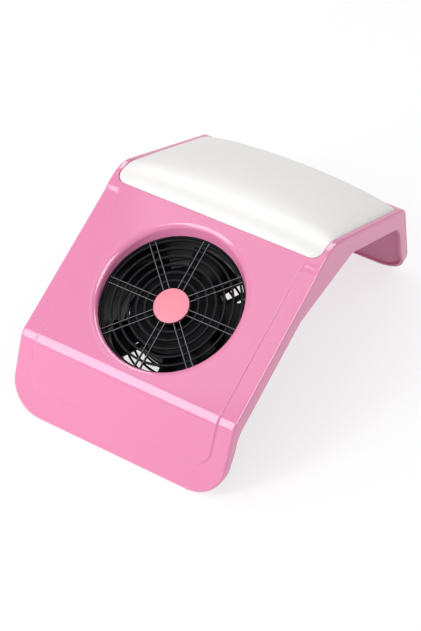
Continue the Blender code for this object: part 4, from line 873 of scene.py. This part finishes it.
def well_body(name, radius, lip_radius, sink, lip_top, floor, home):
    """The fan well's lofted form: a lip rolled from the panel into a plumb wall."""
    draw = Vector((0, -math.sin(SLOPE), -math.cos(SLOPE)))
    angles = [math.tau * step / WELL_STEPS for step in range(WELL_STEPS)]
    outward = [Vector((math.cos(angle), math.sin(angle), 0)) for angle in angles]
    reaches = []
    for angle in angles:
        lean = math.sin(SLOPE) * math.sin(angle)
        size = math.hypot(math.cos(SLOPE), lean)
        reaches.append(lip_radius * math.tan(math.acos(lean / size) / 2))
    shift = draw * (sink / math.cos(SLOPE))
    rows = [[way * (radius + reach) + Vector((0, shift.y, lip_top))
             for way, reach in zip(outward, reaches)]]
    for step in range(LIP_STEPS + 1):
        turn = QUARTER * step / LIP_STEPS
        rows.append([shift + way * (radius + reach * (1 - math.sin(turn)))
                     + draw * (reach * (1 - math.cos(turn)))
                     for way, reach in zip(outward, reaches)])
    rows.append([way * radius + draw * (floor / math.cos(SLOPE)) for way in outward])
    return loft(name, rows, WELL, home)


def rail_points(start, depth, rear_margin, steps=16):
    """The hand rest's stretch of the side view, from the panel to the rear."""
    first = CREASE + ALONG[1] * start + INWARD[1] * depth
    corner = crossing(first, ALONG[1], CREST + INWARD[2] * depth, ALONG[2])
    last = REAR_CORNER - ALONG[2] * rear_margin + INWARD[2] * depth
    return rounded([first, corner, last], [0, CREST_RADIUS - depth, 0], steps)


def tray_parts():
    """The tray's floor under the shell, and the tray cut into its top."""
    grow = WALL
    top = rail_points(TRAY_START - grow, WALL / 2, TRAY_REAR_MARGIN - grow)
    floor = rail_points(TRAY_START - grow, TRAY_DEPTH + WALL, TRAY_REAR_MARGIN - grow)
    half = HALF_WIDTH - WALL / 2
    slab("tray_floor", top + floor[::-1], -half, half, SIDE, ADDED)
    top = rail_points(TRAY_START, -OVERRUN, TRAY_REAR_MARGIN)
    floor = rail_points(TRAY_START, TRAY_DEPTH, TRAY_REAR_MARGIN)
    half = HALF_WIDTH - RAIL_WIDTH
    tray = slab("tray", top + floor[::-1], -half, half, SIDE, REMOVED)
    radius = TRAY_CORNER_RADIUS
    for side, word in ((-1, "left"), (1, "right")):
        corner = arc(half - radius, TRAY_START + radius, radius, -1, 0, 16)
        corner += [(half + OVERRUN, TRAY_START + radius), (half + OVERRUN, TRAY_START - OVERRUN),
                   (half - radius, TRAY_START - OVERRUN)]
        waste = slab(f"tray_{word}", [(side * x, y) for x, y in corner],
                     -TRAY_DEPTH - OVERRUN, 2 * OVERRUN, PANEL, REMOVED)
        combined(tray, removed=[waste])


def apply_modifiers(item):
    """Puts an object's evaluated mesh in place of its modifiers."""
    bpy.context.view_layer.update()
    seen = item.evaluated_get(bpy.context.evaluated_depsgraph_get())
    mesh = bpy.data.meshes.new_from_object(seen)
    item.modifiers.clear()
    item.data = mesh


def foot_places():
    """Each foot's name, the way to its wall, and its place in plan."""
    inset = WALL + FOOT_SHELF_REACH / 2
    return [(f"{row}_{word}", way, (side * (HALF_WIDTH - side_inset), way * (REAR - inset)))
            for row, way, side_inset in (("front", -1, FRONT_FOOT_INSET),
                                         ("rear", 1, REAR_FOOT_INSET))
            for word, side in (("left", -1), ("right", 1))]


def pad_screw_places():
    return [(side * (HALF_WIDTH - PAD_SCREW_INSET), share * LENGTHS[2])
            for side in (-1, 1) for share in PAD_SCREW_SHARES]


def box_outline(half_x, half_y, x=0.0, y=0.0, radius=0.0, steps=8):
    """A rectangle's outline about a middle, with its corners rounded."""
    points = []
    for index, (sx, sy) in enumerate(((-1, -1), (1, -1), (1, 1), (-1, 1))):
        corner = (x + sx * (half_x - radius), y + sy * (half_y - radius))
        points += arc(*corner, radius, index + 2, index + 3, steps) if radius else [corner]
    return points


def radial_bars(name, count, turn, inner, outer, width, low, high):
    """Flat bars that run out from the fan's axis, evenly turned about it."""
    outline = box_outline((outer - inner) / 2, width / 2, (outer + inner) / 2)
    return [slab(f"{name}_{index}", outline, low, high,
                 FAN @ Matrix.Rotation(math.tau * index / count + turn, 4, "Z"))
            for index in range(count)]


def fan_plate(name, low, high, bore, waste=()):
    """A square plate with a round opening and the fan's four screw holes."""
    half = FAN_SIZE / 2
    made = slab(name, box_outline(half, half, radius=FAN_CORNER_RADIUS), low, high)
    low, high = low - OVERRUN, high + OVERRUN
    cuts = [*waste, rod(f"{name}_bore", bore, low, high, steps=FINE_STEPS)]
    cuts += [rod(f"{name}_hole_{index}", FAN_HOLE_RADIUS, low, high, spot=spot)
             for index, spot in enumerate(FAN_CORNERS)]
    return combined(made, removed=cuts)


def rod(name, radius, low, high, place=FAN, home=PIECES, spot=(0, 0), steps=SMALL_STEPS):
    profile = [(0, high), (radius, high), (radius, low), (0, low)]
    return turned(name, profile, steps, place, home, closed=False, spot=spot)


def shell_fittings():
    """Bosses, foot shelves and holes that hold the other pieces."""
    level = Matrix.Identity(4)
    for label, way, (x, y) in foot_places():
        half = FOOT_SHELF_WIDTH / 2
        wall_side = way * (REAR - WALL / 2)
        free_side = y - way * FOOT_SHELF_REACH / 2
        outline = [(x - half, wall_side), (x + half, wall_side), (x + half, free_side),
                   (x - half, free_side)]
        slab(f"shelf_{label}", outline, FOOT_PROUD + SHELF_LIFT, FOOT_PROUD + FOOT_SHELF, level,
             ADDED)
        rod(f"pocket_{label}", FOOT_RADIUS + GAP, FOOT_PROUD - OVERRUN, FOOT_PROUD + FOOT_POCKET,
            level, REMOVED, (x, y))
    for index, spot in enumerate(FAN_CORNERS):
        rod(f"boss_{index}", BOSS_RADIUS, FRAME_TOP + GAP, -WALL / 2, FAN, ADDED, spot)
        rod(f"pilot_{index}", BOSS_HOLE_RADIUS, FRAME_TOP - OVERRUN,
            FRAME_TOP + FAN_SCREW_BITE + WALL / 2, FAN, REMOVED, spot)
    for index, spot in enumerate(pad_screw_places()):
        rod(f"pad_hole_{index}", PAD_SCREW_RADIUS + GAP, -TRAY_DEPTH - WALL - OVERRUN, 0, RAIL,
            REMOVED, spot)
    slab("window", box_outline(SWITCH_LENGTH / 2 + GAP, SWITCH_WIDTH / 2 + GAP, SWITCH_X,
                               LEG_FITTING_HEIGHT), -WALL - OVERRUN, OVERRUN, LEG, REMOVED)
    rod("inlet_hole", INLET_BARREL_RADIUS + GAP, -WALL - OVERRUN, OVERRUN, LEG, REMOVED,
        (INLET_X, LEG_FITTING_HEIGHT))


def shell():
    """The gloss shell, which stands for the frame's plainer one."""
    made = shell_skin()
    coat(made, "shell_pink")
    tray_parts()
    shell_fittings()
    well_body("well_plug", WELL_RADIUS + WALL, WELL_LIP_RADIUS - WALL, WALL, -WALL / 2,
              WELL_DEPTH, ADDED)
    well_body("well_mouth", WELL_RADIUS, WELL_LIP_RADIUS, 0, OVERRUN, WELL_DEPTH + OVERRUN,
              REMOVED)
    boolean(made, "UNION", ADDED)
    boolean(made, "DIFFERENCE", REMOVED)
    apply_modifiers(made)
    for spent in [*ADDED.objects, *REMOVED.objects]:
        bpy.data.objects.remove(spent)
    made.data.shade_smooth()
    made.data.set_sharp_from_angle(angle=SHELL_ANGLE)
    weigh = made.modifiers.new("weighted_normals", "WEIGHTED_NORMAL")
    weigh.keep_sharp = True
    weigh.weight = 60
    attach(made, "housing")
    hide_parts("top_shell")
    return made


def finish_piece(made, slot, nodes, body="housing", bevel=0.0, segments=2):
    """Gives a new piece its finish, softened edges and body, and hides the nodes it stands for."""
    if not made.data.materials:
        coat(made, slot)
    made.data.shade_smooth()
    made.data.set_sharp_from_angle(angle=TURNED_ANGLE)
    if bevel:
        soften(made, bevel, segments)
    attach(made, body)
    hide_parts(*nodes)
    return made


def soften(made, width, segments=2):
    """Rounds an object's edges and keeps its flat faces flat."""
    edge = made.modifiers.new("soft_edges", "BEVEL")
    edge.width = width
    edge.segments = segments
    edge.limit_method = "ANGLE"
    edge.angle_limit = SHARP_ANGLE
    edge.harden_normals = True


def boolean(item, operation, other):
    """A union or difference with an object or with a collection."""
    step = item.modifiers.new(operation.lower(), "BOOLEAN")
    step.operation = operation
    step.solver = "EXACT"
    if isinstance(other, bpy.types.Collection):
        step.operand_type = "COLLECTION"
        step.collection = other
    else:
        step.object = other


def combined(item, added=(), removed=()):
    """Joins and cuts an object with others, which are then spent."""
    for other in added:
        boolean(item, "UNION", other)
    for other in removed:
        boolean(item, "DIFFERENCE", other)
    apply_modifiers(item)
    for spent in [*added, *removed]:
        bpy.data.objects.remove(spent)
    return item


def pad_paths():
    """The hand rest's line at the rails' level, and the smooth one under its crown."""
    rails = rail_points(TRAY_START + GAP, 0, TRAY_REAR_MARGIN + GAP, 24)
    first, last = rails[0], rails[-1]
    corner = crossing(first, ALONG[1], last, ALONG[2])
    crown = []
    for step in range(CROWN_STEPS + 1):
        share = step / CROWN_STEPS
        crown.append(first.lerp(corner, share).lerp(corner.lerp(last, share), share))
    return measured(rails), measured(crown)


def pad_place(path, along, depth):
    points, travelled = path
    piece, share = locate(travelled, along)
    ways = []
    for index in (piece, piece + 1):
        before, after = points[max(index - 1, 0)], points[min(index + 1, len(points) - 1)]
        ways.append((after - before).normalized())
    way = ways[0].lerp(ways[1], share).normalized()
    spot = points[piece].lerp(points[piece + 1], share)
    return spot + Vector((way.y, -way.x)) * depth


def pad_share(across, along, total):
    """How full the padding is, from none at its edges to its whole crown."""
    fill = (1 - across ** 2) ** PAD_SIDE_POWER
    front = math.sin(QUARTER * min(1.0, along / PAD_FRONT_RISE)) ** PAD_FRONT_POWER
    rear = 1 - min(1.0, (total - along) / PAD_REAR_RISE)
    return fill * front * math.sqrt(1 - rear ** 2)


def pad_mesh():
    """A closed, crowned form in the tray, from an even grid over its rounded outline."""
    path, crown = pad_paths()
    total = path[1][-1]
    stretch = crown[1][-1] / total
    half = HALF_WIDTH - RAIL_WIDTH - GAP
    radius = TRAY_CORNER_RADIUS
    rows = [radius * (1 - math.cos(QUARTER * step / END_STEPS)) for step in range(END_STEPS)]
    rows += spread(radius, total - radius, PAD_PITCH)
    rows += [total - row for row in [radius] + rows[:END_STEPS][::-1]]
    count = 2 * round(half / PAD_PITCH)
    floor_depth = TRAY_DEPTH - GAP - BASE_THICKNESS - PAD_SEAT_GAP
    shape = bmesh.new()
    top, low = [], []
    for along in rows:
        near = max(radius - along, 0)
        wide = half - radius + math.sqrt(radius ** 2 - near ** 2)
        top_row, low_row = [], []
        for column in range(count + 1):
            even = 2 * column / count - 1
            across = (math.sin(QUARTER * even) + even) / 2
            share = pad_share(across, along, total)
            lean = smooth((along - total) / PAD_REAR_REACH + 1) * share
            spot = pad_place(path, along, PAD_EDGE_DEPTH)
            spot = spot.lerp(pad_place(crown, along * stretch, -PAD_CROWN), share)
            spot += ALONG[2] * (PAD_REAR_BULGE * lean)
            top_row.append(shape.verts.new((across * wide, *spot)))
            spot = pad_place(path, along, floor_depth)
            low_row.append(shape.verts.new((across * wide, *spot)))
        top.append(top_row)
        low.append(low_row)
    lattice(shape, top)
    lattice(shape, low)
    loop = boundary_places(count, len(rows) - 1)
    for (row, column), (next_row, next_column) in zip(loop, loop[1:] + loop[:1]):
        shape.faces.new((top[row][column], top[next_row][next_column],
                         low[next_row][next_column], low[row][column]))
    shape.verts.index_update()
    held = [vert.index for row in low for vert in row]
    held += [top[row][column].index for row, column in loop]
    return mesh_from("padding", shape), held


CLOTH = {"quality": 6, "mass": 0.25, "tension_stiffness": 22, "compression_stiffness": 22,
         "shear_stiffness": 8, "bending_stiffness": 6.0, "use_pressure": True,
         "uniform_pressure_force": 4.0}


def swell(made, held):
    """Cloth under pressure from inside, held at its seams and its back."""
    made.vertex_groups.new(name="held").add(held, 1.0, "REPLACE")
    before = [vert.co.copy() for vert in made.data.vertices]
    cloth = made.modifiers.new("cloth", "CLOTH")
    for name, value in CLOTH.items():
        setattr(cloth.settings, name, value)
    cloth.settings.effector_weights.gravity = 0
    cloth.settings.vertex_group_mass = "held"
    cloth.point_cache.frame_start = 1
    cloth.point_cache.frame_end = PAD_FRAMES
    scene = bpy.context.scene
    for step in range(1, PAD_FRAMES + 1):
        scene.frame_set(step)
    apply_modifiers(made)
    scene.frame_set(1)
    for vert, start in zip(made.data.vertices, before):
        move = vert.co - start
        if move.length > PAD_SWELL_CAP:
            vert.co = start + move.normalized() * PAD_SWELL_CAP
    made.vertex_groups.clear()


def padding():
    """The padded hand rest, wrapped on its carrier."""
    mesh, held = pad_mesh()
    made = add_object("padding", mesh, PIECES)
    coat(made, "pad_leatherette")
    swell(made, held)
    smooth_form = made.modifiers.new("smooth_form", "SUBSURF")
    smooth_form.levels = 1
    smooth_form.render_levels = 1
    made.data.shade_smooth()
    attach(made, "housing")
    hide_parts("cushion")


def rib_profile(middle, width, low, high):
    """A rib's section, as radius and height: flat, with two thin raised lips."""
    half = width / 2
    chamfer, lip = RIB_CHAMFER, RIB_LIP
    right = [(middle + half - lip, high - chamfer), (middle + half - lip + chamfer / 2, high),
             (middle + half - chamfer / 2, high), (middle + half, high - chamfer),
             (middle + half, low)]
    left = [(2 * middle - radius, height) for radius, height in right][::-1]
    return right + left


# The guard's black, and its two painted highlight greys.
GUARD_BLACK_AND_HIGHLIGHTS = ("guard_black", "guard_edge", "guard_lip")


def coat(made, *names):
    for name in names:
        made.data.materials.append(MATERIALS[name])


def paint_highlight_faces(made, top, finish, least_radius=0.0):
    """Paints the narrow faces at the top of a rib or bar a lighter grey, as a painted highlight
    along its edge.
    """
    coat(made, *GUARD_BLACK_AND_HIGHLIGHTS)
    for face in made.data.polygons:
        corners = [made.data.vertices[index].co for index in face.vertices]
        if all(co.z > top - RIB_CHAMFER / 3 and co.xy.length > least_radius for co in corners):
            face.material_index = GUARD_BLACK_AND_HIGHLIGHTS.index(finish)


def guard_ring(index, high):
    middle = BADGE_RADIUS + GUARD_RING_PITCH * index
    profile = rib_profile(middle, GUARD_RING_WIDTH, GUARD_BOTTOM, high)
    made = turned(f"guard_ring_{index}", profile, FINE_STEPS)
    # The ring's outer lip top gets a painted highlight grey.
    paint_highlight_faces(made, high, "guard_lip", middle)
    return made


def guard_bar(name, angle, offset, high):
    """One thin bar of a spoke, with a painted highlight on its top edge."""
    inner, outer = BADGE_RADIUS + GAP, GUARD_RIM_RADIUS + WALL / 2
    half, low = SPOKE_WIDTH / 2, GUARD_BOTTOM
    top = half - SPOKE_CHAMFER
    section = [(-half, low), (half, low), (half, high - SPOKE_CHAMFER), (top, high),
               (-top, high), (-half, high - SPOKE_CHAMFER)]
    ends = [[(along, offset + side, level) for side, level in section]
            for along in (inner, outer)]
    made = loft(name, ends, FAN @ Matrix.Rotation(angle, 4, "Z"), sharp=BAR_ANGLE)
    paint_highlight_faces(made, high, "guard_edge")
    return made


def guard():
    """The guard: a flange under the well, six ribs, eight double spokes and a hub plate."""
    inner, outer = GUARD_RIM_RADIUS, GUARD_FLANGE_RADIUS
    profile = [(outer, GUARD_TOP), (outer, GUARD_BOTTOM), (inner, GUARD_BOTTOM),
               (inner, GUARD_TOP - RIB_CHAMFER), (inner + RIB_CHAMFER, GUARD_TOP)]
    made = turned("guard", profile, FINE_STEPS)
    coat(made, *GUARD_BLACK_AND_HIGHLIGHTS)
    rest = [guard_ring(index, GUARD_TOP - GUARD_RING_STEP)
            for index in range(1, GUARD_RING_COUNT + 1)]
    for index in range(SPOKE_COUNT):
        for side, word in ((-1, "a"), (1, "b")):
            rest.append(guard_bar(f"guard_bar_{index}{word}", math.tau * index / SPOKE_COUNT,
                                  side * SPOKE_PAIR_SPACING / 2, GUARD_TOP))
    radius, high = BADGE_RADIUS + GUARD_HUB_MARGIN, BADGE_TOP - BADGE_THICKNESS - GAP
    plate = [(0, high), (radius, high), (radius, GUARD_BOTTOM), (0, GUARD_BOTTOM)]
    hub = turned("guard_plate", plate, MIDDLE_STEPS, closed=False)
    coat(hub, "guard_black")
    combined(made, added=[*rest, hub])
    return finish_piece(made, "guard_black", ["fan_guard"])


def badge():
    low, high, radius, edge = BADGE_TOP - BADGE_THICKNESS, BADGE_TOP, BADGE_RADIUS, BADGE_EDGE
    profile = [(0, high), *arc(radius - edge, high - edge, edge, 1, 0, 5), (radius, low), (0, low)]
    made = turned("badge", profile, MIDDLE_STEPS, closed=False)
    return finish_piece(made, "badge_salmon", ["guard_badge"])


def fan_frame():
    """The fan's square frame: two flanges, barrel, struts, motor base and bearing tube."""
    barrel_radius = FAN_BORE_RADIUS + FAN_BARREL_WALL
    barrel = rod("barrel", barrel_radius, FRAME_BOTTOM - OVERRUN, FRAME_TOP + OVERRUN,
                 steps=FINE_STEPS)
    half = FAN_SIZE / 2 + OVERRUN
    waist = slab("waist", box_outline(half, half), FRAME_BOTTOM + FAN_FLANGE,
                 FRAME_TOP - FAN_FLANGE)
    combined(waist, removed=[barrel])
    made = fan_plate("fan_case", FRAME_BOTTOM, FRAME_TOP, FAN_BORE_RADIUS, [waist])
    struts = radial_bars("strut", STRUT_COUNT, STRUT_ROTATION, MOTOR_BASE_RADIUS - STRUT_WIDTH,
                         barrel_radius - FAN_BARREL_WALL / 2, STRUT_WIDTH,
                         FRAME_BOTTOM + SHELF_LIFT, BASE_TOP - SHELF_LIFT)
    base = [(TUBE_RADIUS, BEARING_TOP), (TUBE_RADIUS, BASE_TOP), (MOTOR_BASE_RADIUS, BASE_TOP),
            (MOTOR_BASE_RADIUS, FRAME_BOTTOM), (TUBE_BORE, FRAME_BOTTOM), (TUBE_BORE, BEARING_TOP)]
    combined(made, added=[*struts, turned("motor_base", base, MIDDLE_STEPS)])
    return finish_piece(made, "fan_black", ["fan_frame"], bevel=FRAME_BEVEL)


def blade(index):
    """One curved fan blade with a rounded section, as in the frame."""
    sections, chord_points = BLADE_SECTIONS, BLADE_CHORD_POINTS
    root = HUB_RADIUS - HUB_WALL / 2
    tip = FAN_BORE_RADIUS - BLADE_TIP_CLEARANCE
    middle = (HUB_TOP + HUB_BOTTOM) / 2
    turn_angle = math.tau * index / BLADE_COUNT + BLADE_ROTATION
    loops = []
    for section in range(sections):
        share = section / (sections - 1)
        radius = root + (tip - root) * share
        height = BLADE_ROOT_HEIGHT + (BLADE_TIP_HEIGHT - BLADE_ROOT_HEIGHT) * share
        upper, lower = [], []
        for step in range(chord_points):
            along = step / (chord_points - 1)
            bulge = BLADE_CAMBER * math.sin(math.pi * along)
            fullness = BLADE_EDGE_SHARE + (1 - BLADE_EDGE_SHARE) * math.sin(math.pi * along)
            skin = BLADE_THICKNESS * fullness / 2
            angle = turn_angle - BLADE_TURN * (along - 0.5)
            level = middle + height * (0.5 - along) + bulge
            for store, offset in ((upper, skin), (lower, -skin)):
                store.append((radius * math.cos(angle), radius * math.sin(angle), level + offset))
        loops.append(upper + lower[::-1])
    return loft(f"blade_{index}", loops)


def impeller():
    """The fan wheel: a hub cup with its shaft boss and swept blades."""
    inner, under, hole = HUB_RADIUS - HUB_WALL, HUB_TOP - HUB_WALL, SHAFT_RADIUS + GAP
    boss, boss_low = hole + HUB_WALL, BEARING_TOP + GAP
    rounding = HUB_TOP_ROUNDING
    profile = [(0, HUB_TOP), *arc(HUB_RADIUS - rounding, HUB_TOP - rounding, rounding, 1, 0, 8)]
    profile += [(HUB_RADIUS, HUB_BOTTOM), (inner, HUB_BOTTOM), (inner, under), (boss, under),
                (boss, boss_low), (hole, boss_low), (hole, under + GAP), (0, under + GAP)]
    made = turned("fan_wheel", profile, MIDDLE_STEPS, closed=False)
    combined(made, added=[blade(index) for index in range(BLADE_COUNT)])
    return finish_piece(made, "fan_black", ["impeller"], body="fan_rotor")


def rear_grille():
    """The plate under the fan, with a finger grille in its round opening."""
    made = fan_plate("grille_plate", GRILLE_BOTTOM, GRILLE_TOP, COLLAR_RADIUS)
    low, high = GRILLE_BOTTOM, GRILLE_TOP - SHELF_LIFT
    bars = radial_bars("grille_bar", GRILLE_BAR_COUNT, math.pi / GRILLE_BAR_COUNT,
                       GRILLE_RING_FIRST, COLLAR_RADIUS + WALL / 3, GRILLE_BAR_WIDTH, low,
                       high - SHELF_LIFT)
    half_bar = GRILLE_BAR_WIDTH / 2
    for index in range(GRILLE_RING_COUNT):
        middle = GRILLE_RING_FIRST + GRILLE_RING_PITCH * index
        profile = [(middle + half_bar, high), (middle + half_bar, low + SHELF_LIFT),
                   (middle - half_bar, low + SHELF_LIFT), (middle - half_bar, high)]
        bars.append(turned(f"grille_ring_{index}", profile, MIDDLE_STEPS))
    combined(made, added=bars)
    return finish_piece(made, "guard_black", ["rear_grille"], bevel=GRILLE_BEVEL)


def collar():
    """The beaded ring under the rear grille, which a dust bag's hem grips."""
    outer, bead, edge = COLLAR_RADIUS + COLLAR_WALL, COLLAR_BEAD_LENGTH / 2, COLLAR_EDGE
    top = GRILLE_BOTTOM - GAP
    profile = [(outer - edge, top), (outer, top - edge)]
    profile += arc(outer, COLLAR_BOTTOM + bead, COLLAR_BEAD, 1, -1, 10, bead)
    profile += [(COLLAR_RADIUS + edge, COLLAR_BOTTOM), (COLLAR_RADIUS, COLLAR_BOTTOM + edge),
                (COLLAR_RADIUS, top - edge), (COLLAR_RADIUS + edge, top)]
    made = turned("bag_collar", profile, FINE_STEPS)
    return finish_piece(made, "guard_black", ["exhaust_collar"])


def screw(name, spot, place, face, seat, tip, shank, head_radius, node_name):
    """A pan-head screw with a threaded shank and a cross recess."""
    dome = (seat - face) * SCREW_DOME_SHARE
    profile = [(0, tip), (shank * SCREW_TIP_SHARE, tip - shank / 2)]
    level = tip - THREAD_PITCH
    while level > seat + THREAD_PITCH:
        profile += [(shank, level), (shank - THREAD_DEPTH, level - THREAD_PITCH / 2)]
        level -= THREAD_PITCH
    profile += [(shank - THREAD_DEPTH, seat), (head_radius, seat),
                *arc(head_radius - dome, face + dome, dome, 0, -1, 6), (0, face)]
    where = place @ Matrix.Translation((*spot, 0))
    made = turned(name, profile, SMALL_STEPS, where, closed=False)
    long_half, thin_half = head_radius * RECESS_LENGTH_SHARE / 2, RECESS_WIDTH / 2
    cuts = [slab(f"recess_{word}", box_outline(*halves), face - OVERRUN, face + RECESS_DEPTH,
                 where)
            for word, halves in (("across", (long_half, thin_half)),
                                 ("up", (thin_half, long_half)))]
    combined(made, removed=cuts)
    return finish_piece(made, "screw_zinc", [node_name])


def screws():
    seat = GRILLE_BOTTOM - GAP
    for index, spot in enumerate(FAN_CORNERS, 1):
        screw(f"long_screw_{index}", spot, FAN, seat - FAN_SCREW_HEAD_HEIGHT, seat,
              FRAME_TOP + FAN_SCREW_BITE, FAN_SCREW_RADIUS, FAN_SCREW_HEAD_RADIUS,
              f"fan_screw_{index}")
    seat = -(TRAY_DEPTH + WALL + GAP)
    for index, spot in enumerate(pad_screw_places(), 1):
        screw(f"pad_screw_{index}", spot, RAIL, seat - PAD_SCREW_HEAD_HEIGHT, seat,
              -TRAY_DEPTH + GAP + PAD_SCREW_BITE, PAD_SCREW_RADIUS, PAD_SCREW_HEAD_RADIUS,
              f"cushion_screw_{index}")


def feet():
    """Round rubber feet with a softened rim."""
    high, radius, edge = FOOT_PROUD + FOOT_POCKET - GAP, FOOT_RADIUS, FOOT_EDGE
    profile = [(0, high), (radius, high), *arc(radius - edge, edge, edge, 0, -1, 5), (0, 0)]
    for label, _, spot in foot_places():
        made = turned(f"rubber_foot_{label}", profile, SMALL_STEPS, Matrix.Identity(4),
                      closed=False, spot=spot)
        finish_piece(made, "foot_rubber", [f"foot_{label}"])


def inlet():
    """The power inlet's flanged barrel, with a softened rim and a plain round socket bore."""
    top = GAP + INLET_FLANGE_THICKNESS
    back, floor = top - INLET_LENGTH, top - INLET_BORE_DEPTH
    flange, bore, edge = INLET_FLANGE_RADIUS, INLET_BORE_RADIUS, INLET_EDGE
    profile = [(0, floor), (bore, floor), (bore, top - edge), (bore + edge, top),
               *arc(flange - edge, top - edge, edge, 1, 0, 4), (flange, GAP),
               (INLET_BARREL_RADIUS, GAP), (INLET_BARREL_RADIUS, back), (0, back)]
    made = turned("inlet_socket", profile, SMALL_STEPS, LEG, closed=False,
                  spot=(INLET_X, LEG_FITTING_HEIGHT))
    finish_piece(made, "switch_black", ["inlet_barrel"])


KEPT_BEVELS = {
    "switch_body": 0.00035, "switch_rocker": 0.00040, "switch_terminal_left": 0.00012,
    "switch_terminal_right": 0.00012, "inlet_nut": 0.00025, "cushion_base": 0.0004,
    "lead_clip_1": 0.00025, "lead_clip_2": 0.00025, "lead_clip_3": 0.00025,
}


def smooth_group():
    """A node group that shades a mesh smooth but for its sharp edges."""
    group = bpy.data.node_groups.new("smooth_by_angle", "GeometryNodeTree")
    for way in ("INPUT", "OUTPUT"):
        group.interface.new_socket("Geometry", in_out=way, socket_type="NodeSocketGeometry")
    flat = node(group, "FunctionNodeCompare", operation="LESS_THAN")
    flat.inputs[1].default_value = SHARP_ANGLE
    edges = node(group, "GeometryNodeSetShadeSmooth", domain="EDGE")
    faces = node(group, "GeometryNodeSetShadeSmooth", domain="FACE")
    link(group, node(group, "GeometryNodeInputMeshEdgeAngle"), "Unsigned Angle", flat, 0)
    link(group, node(group, "NodeGroupInput"), 0, faces, "Geometry")
    link(group, faces, "Geometry", edges, "Geometry")
    link(group, flat, 0, edges, "Shade Smooth")
    link(group, edges, "Geometry", node(group, "NodeGroupOutput"), 0)
    return group


WELD_DISTANCE = 0.000002


def refine_kept_nodes():
    """Welds, softens and smooths the frame's own meshes by modifiers."""
    group = smooth_group()
    for name, item in frame["nodes"].items():
        if item.hide_render:
            continue
        weld = item.modifiers.new("weld", "WELD")
        weld.merge_threshold = WELD_DISTANCE
        if name in KEPT_BEVELS:
            soften(item, KEPT_BEVELS[name])
        shading = item.modifiers.new("shading", "NODES")
        shading.node_group = group


# Camera of the photograph: place, aim and lens.
IMAGE_HEIGHT = 631
CAMERA_PLACE = Vector((0.5463, -0.7348 + FRONT, 0.9932 + FOOT_PROUD))
CAMERA_AZIMUTH = math.radians(31.7184)
CAMERA_ELEVATION = math.radians(42.7662)
CAMERA_ROLL = math.radians(0.4574)
FOCAL_PIXELS = 1696.69
SENSOR = 36.0


def camera():
    a, e, roll = CAMERA_AZIMUTH, CAMERA_ELEVATION, CAMERA_ROLL
    back = Vector((math.sin(a) * math.cos(e), -math.cos(a) * math.cos(e), math.sin(e)))
    right = Vector((math.cos(a), math.sin(a), 0))
    up = back.cross(right)
    turned_right = right * math.cos(roll) + up * math.sin(roll)
    turned_up = up * math.cos(roll) - right * math.sin(roll)
    data = bpy.data.cameras.new("camera")
    data.sensor_width = SENSOR
    data.lens = FOCAL_PIXELS / IMAGE_HEIGHT * SENSOR
    data.clip_start = 0.01
    made = add_object("camera", data, bpy.context.scene.collection)
    turn = Matrix((turned_right, turned_up, back)).transposed().to_4x4()
    made.matrix_world = Matrix.Translation(CAMERA_PLACE) @ turn
    bpy.context.scene.camera = made


def world():
    """An even white surrounding, brighter for the camera than for the object."""
    made = bpy.data.worlds.new("studio")
    bpy.context.scene.world = made
    made.use_nodes = True
    tree = made.node_tree
    background = tree.nodes["Background"]
    background.inputs["Color"].default_value = (1, 1, 1, 1)
    strength = node(tree, "ShaderNodeMapRange", To_Min=WORLD_LEVEL, To_Max=1.0)
    link(tree, node(tree, "ShaderNodeLightPath"), "Is Camera Ray", strength, "Value")
    link(tree, strength, "Result", background, "Strength")


LIGHT_AIM = Vector((0, 0, 0.07))


def area_light(name, direction, distance, size, radiance):
    """A soft light that faces the object, with a radiance in white levels."""
    data = bpy.data.lights.new(name, "AREA")
    data.shape = "RECTANGLE"
    data.size, data.size_y = size
    data.energy = radiance * math.pi * size[0] * size[1]
    made = add_object(name, data, bpy.context.scene.collection)
    aim = Vector(direction).normalized()
    made.location = LIGHT_AIM + aim * distance
    made.rotation_mode = "QUATERNION"
    made.rotation_quaternion = aim.to_track_quat("Z", "Y")
    return made


def lights():
    """Soft boxes, and three cards that only the gloss mirrors."""
    strip = area_light("front_left_strip", (-0.40, -0.78, 0.50), 1.6, (0.32, 1.25), 8.0)
    strip.visible_glossy = False
    area_light("top_box", (-0.25, -0.05, 1.0), 1.7, (0.9, 0.9), 1.2)
    for name, direction, size, radiance in (
            ("front_card", (-0.386, -0.750, 0.540), (0.85, 1.35), 7.5),
            ("back_card", (-0.05, 0.66, 0.75), (2.1, 1.0), 6.5),
            ("right_card", (0.66, -0.12, 0.74), (1.0, 1.0), 9.0)):
        card = area_light(name, direction, 1.6, size, radiance)
        card.visible_diffuse = False


def floor():
    """A plain white floor that keeps only the object's shadow."""
    shape = bmesh.new()
    bmesh.ops.create_grid(shape, x_segments=1, y_segments=1, size=FLOOR_REACH)
    made = add_object("floor", mesh_from("floor", shape), bpy.context.scene.collection)
    made.location.z = -FLOOR_DROP
    finish = material("floor_white", (0.92, 0.92, 0.92), 0.9)
    made.data.materials.append(finish)
    tree = finish.node_tree
    path = node(tree, "ShaderNodeLightPath")
    seen = node(tree, "ShaderNodeMath", operation="MAXIMUM")
    link(tree, path, "Is Camera Ray", seen, 0)
    link(tree, path, "Is Glossy Ray", seen, 1)
    share = node(tree, "ShaderNodeMath", operation="MULTIPLY")
    share.inputs[1].default_value = GLOW_SHARE
    link(tree, seen, 0, share, 0)
    mix = node(tree, "ShaderNodeMixShader")
    link(tree, share, 0, mix, 0)
    link(tree, principled(finish), 0, mix, 1)
    link(tree, node(tree, "ShaderNodeEmission", Strength=GLOW_STRENGTH), 0, mix, 2)
    link(tree, mix, 0, tree.nodes["Material Output"], "Surface")


def main():
    dress_cad_nodes()
    shell()
    padding()
    guard()
    badge()
    fan_frame()
    impeller()
    rear_grille()
    collar()
    screws()
    feet()
    inlet()
    refine_kept_nodes()
    camera()
    world()
    lights()
    floor()
    bpy.context.scene.view_settings.view_transform = "Standard"


main()
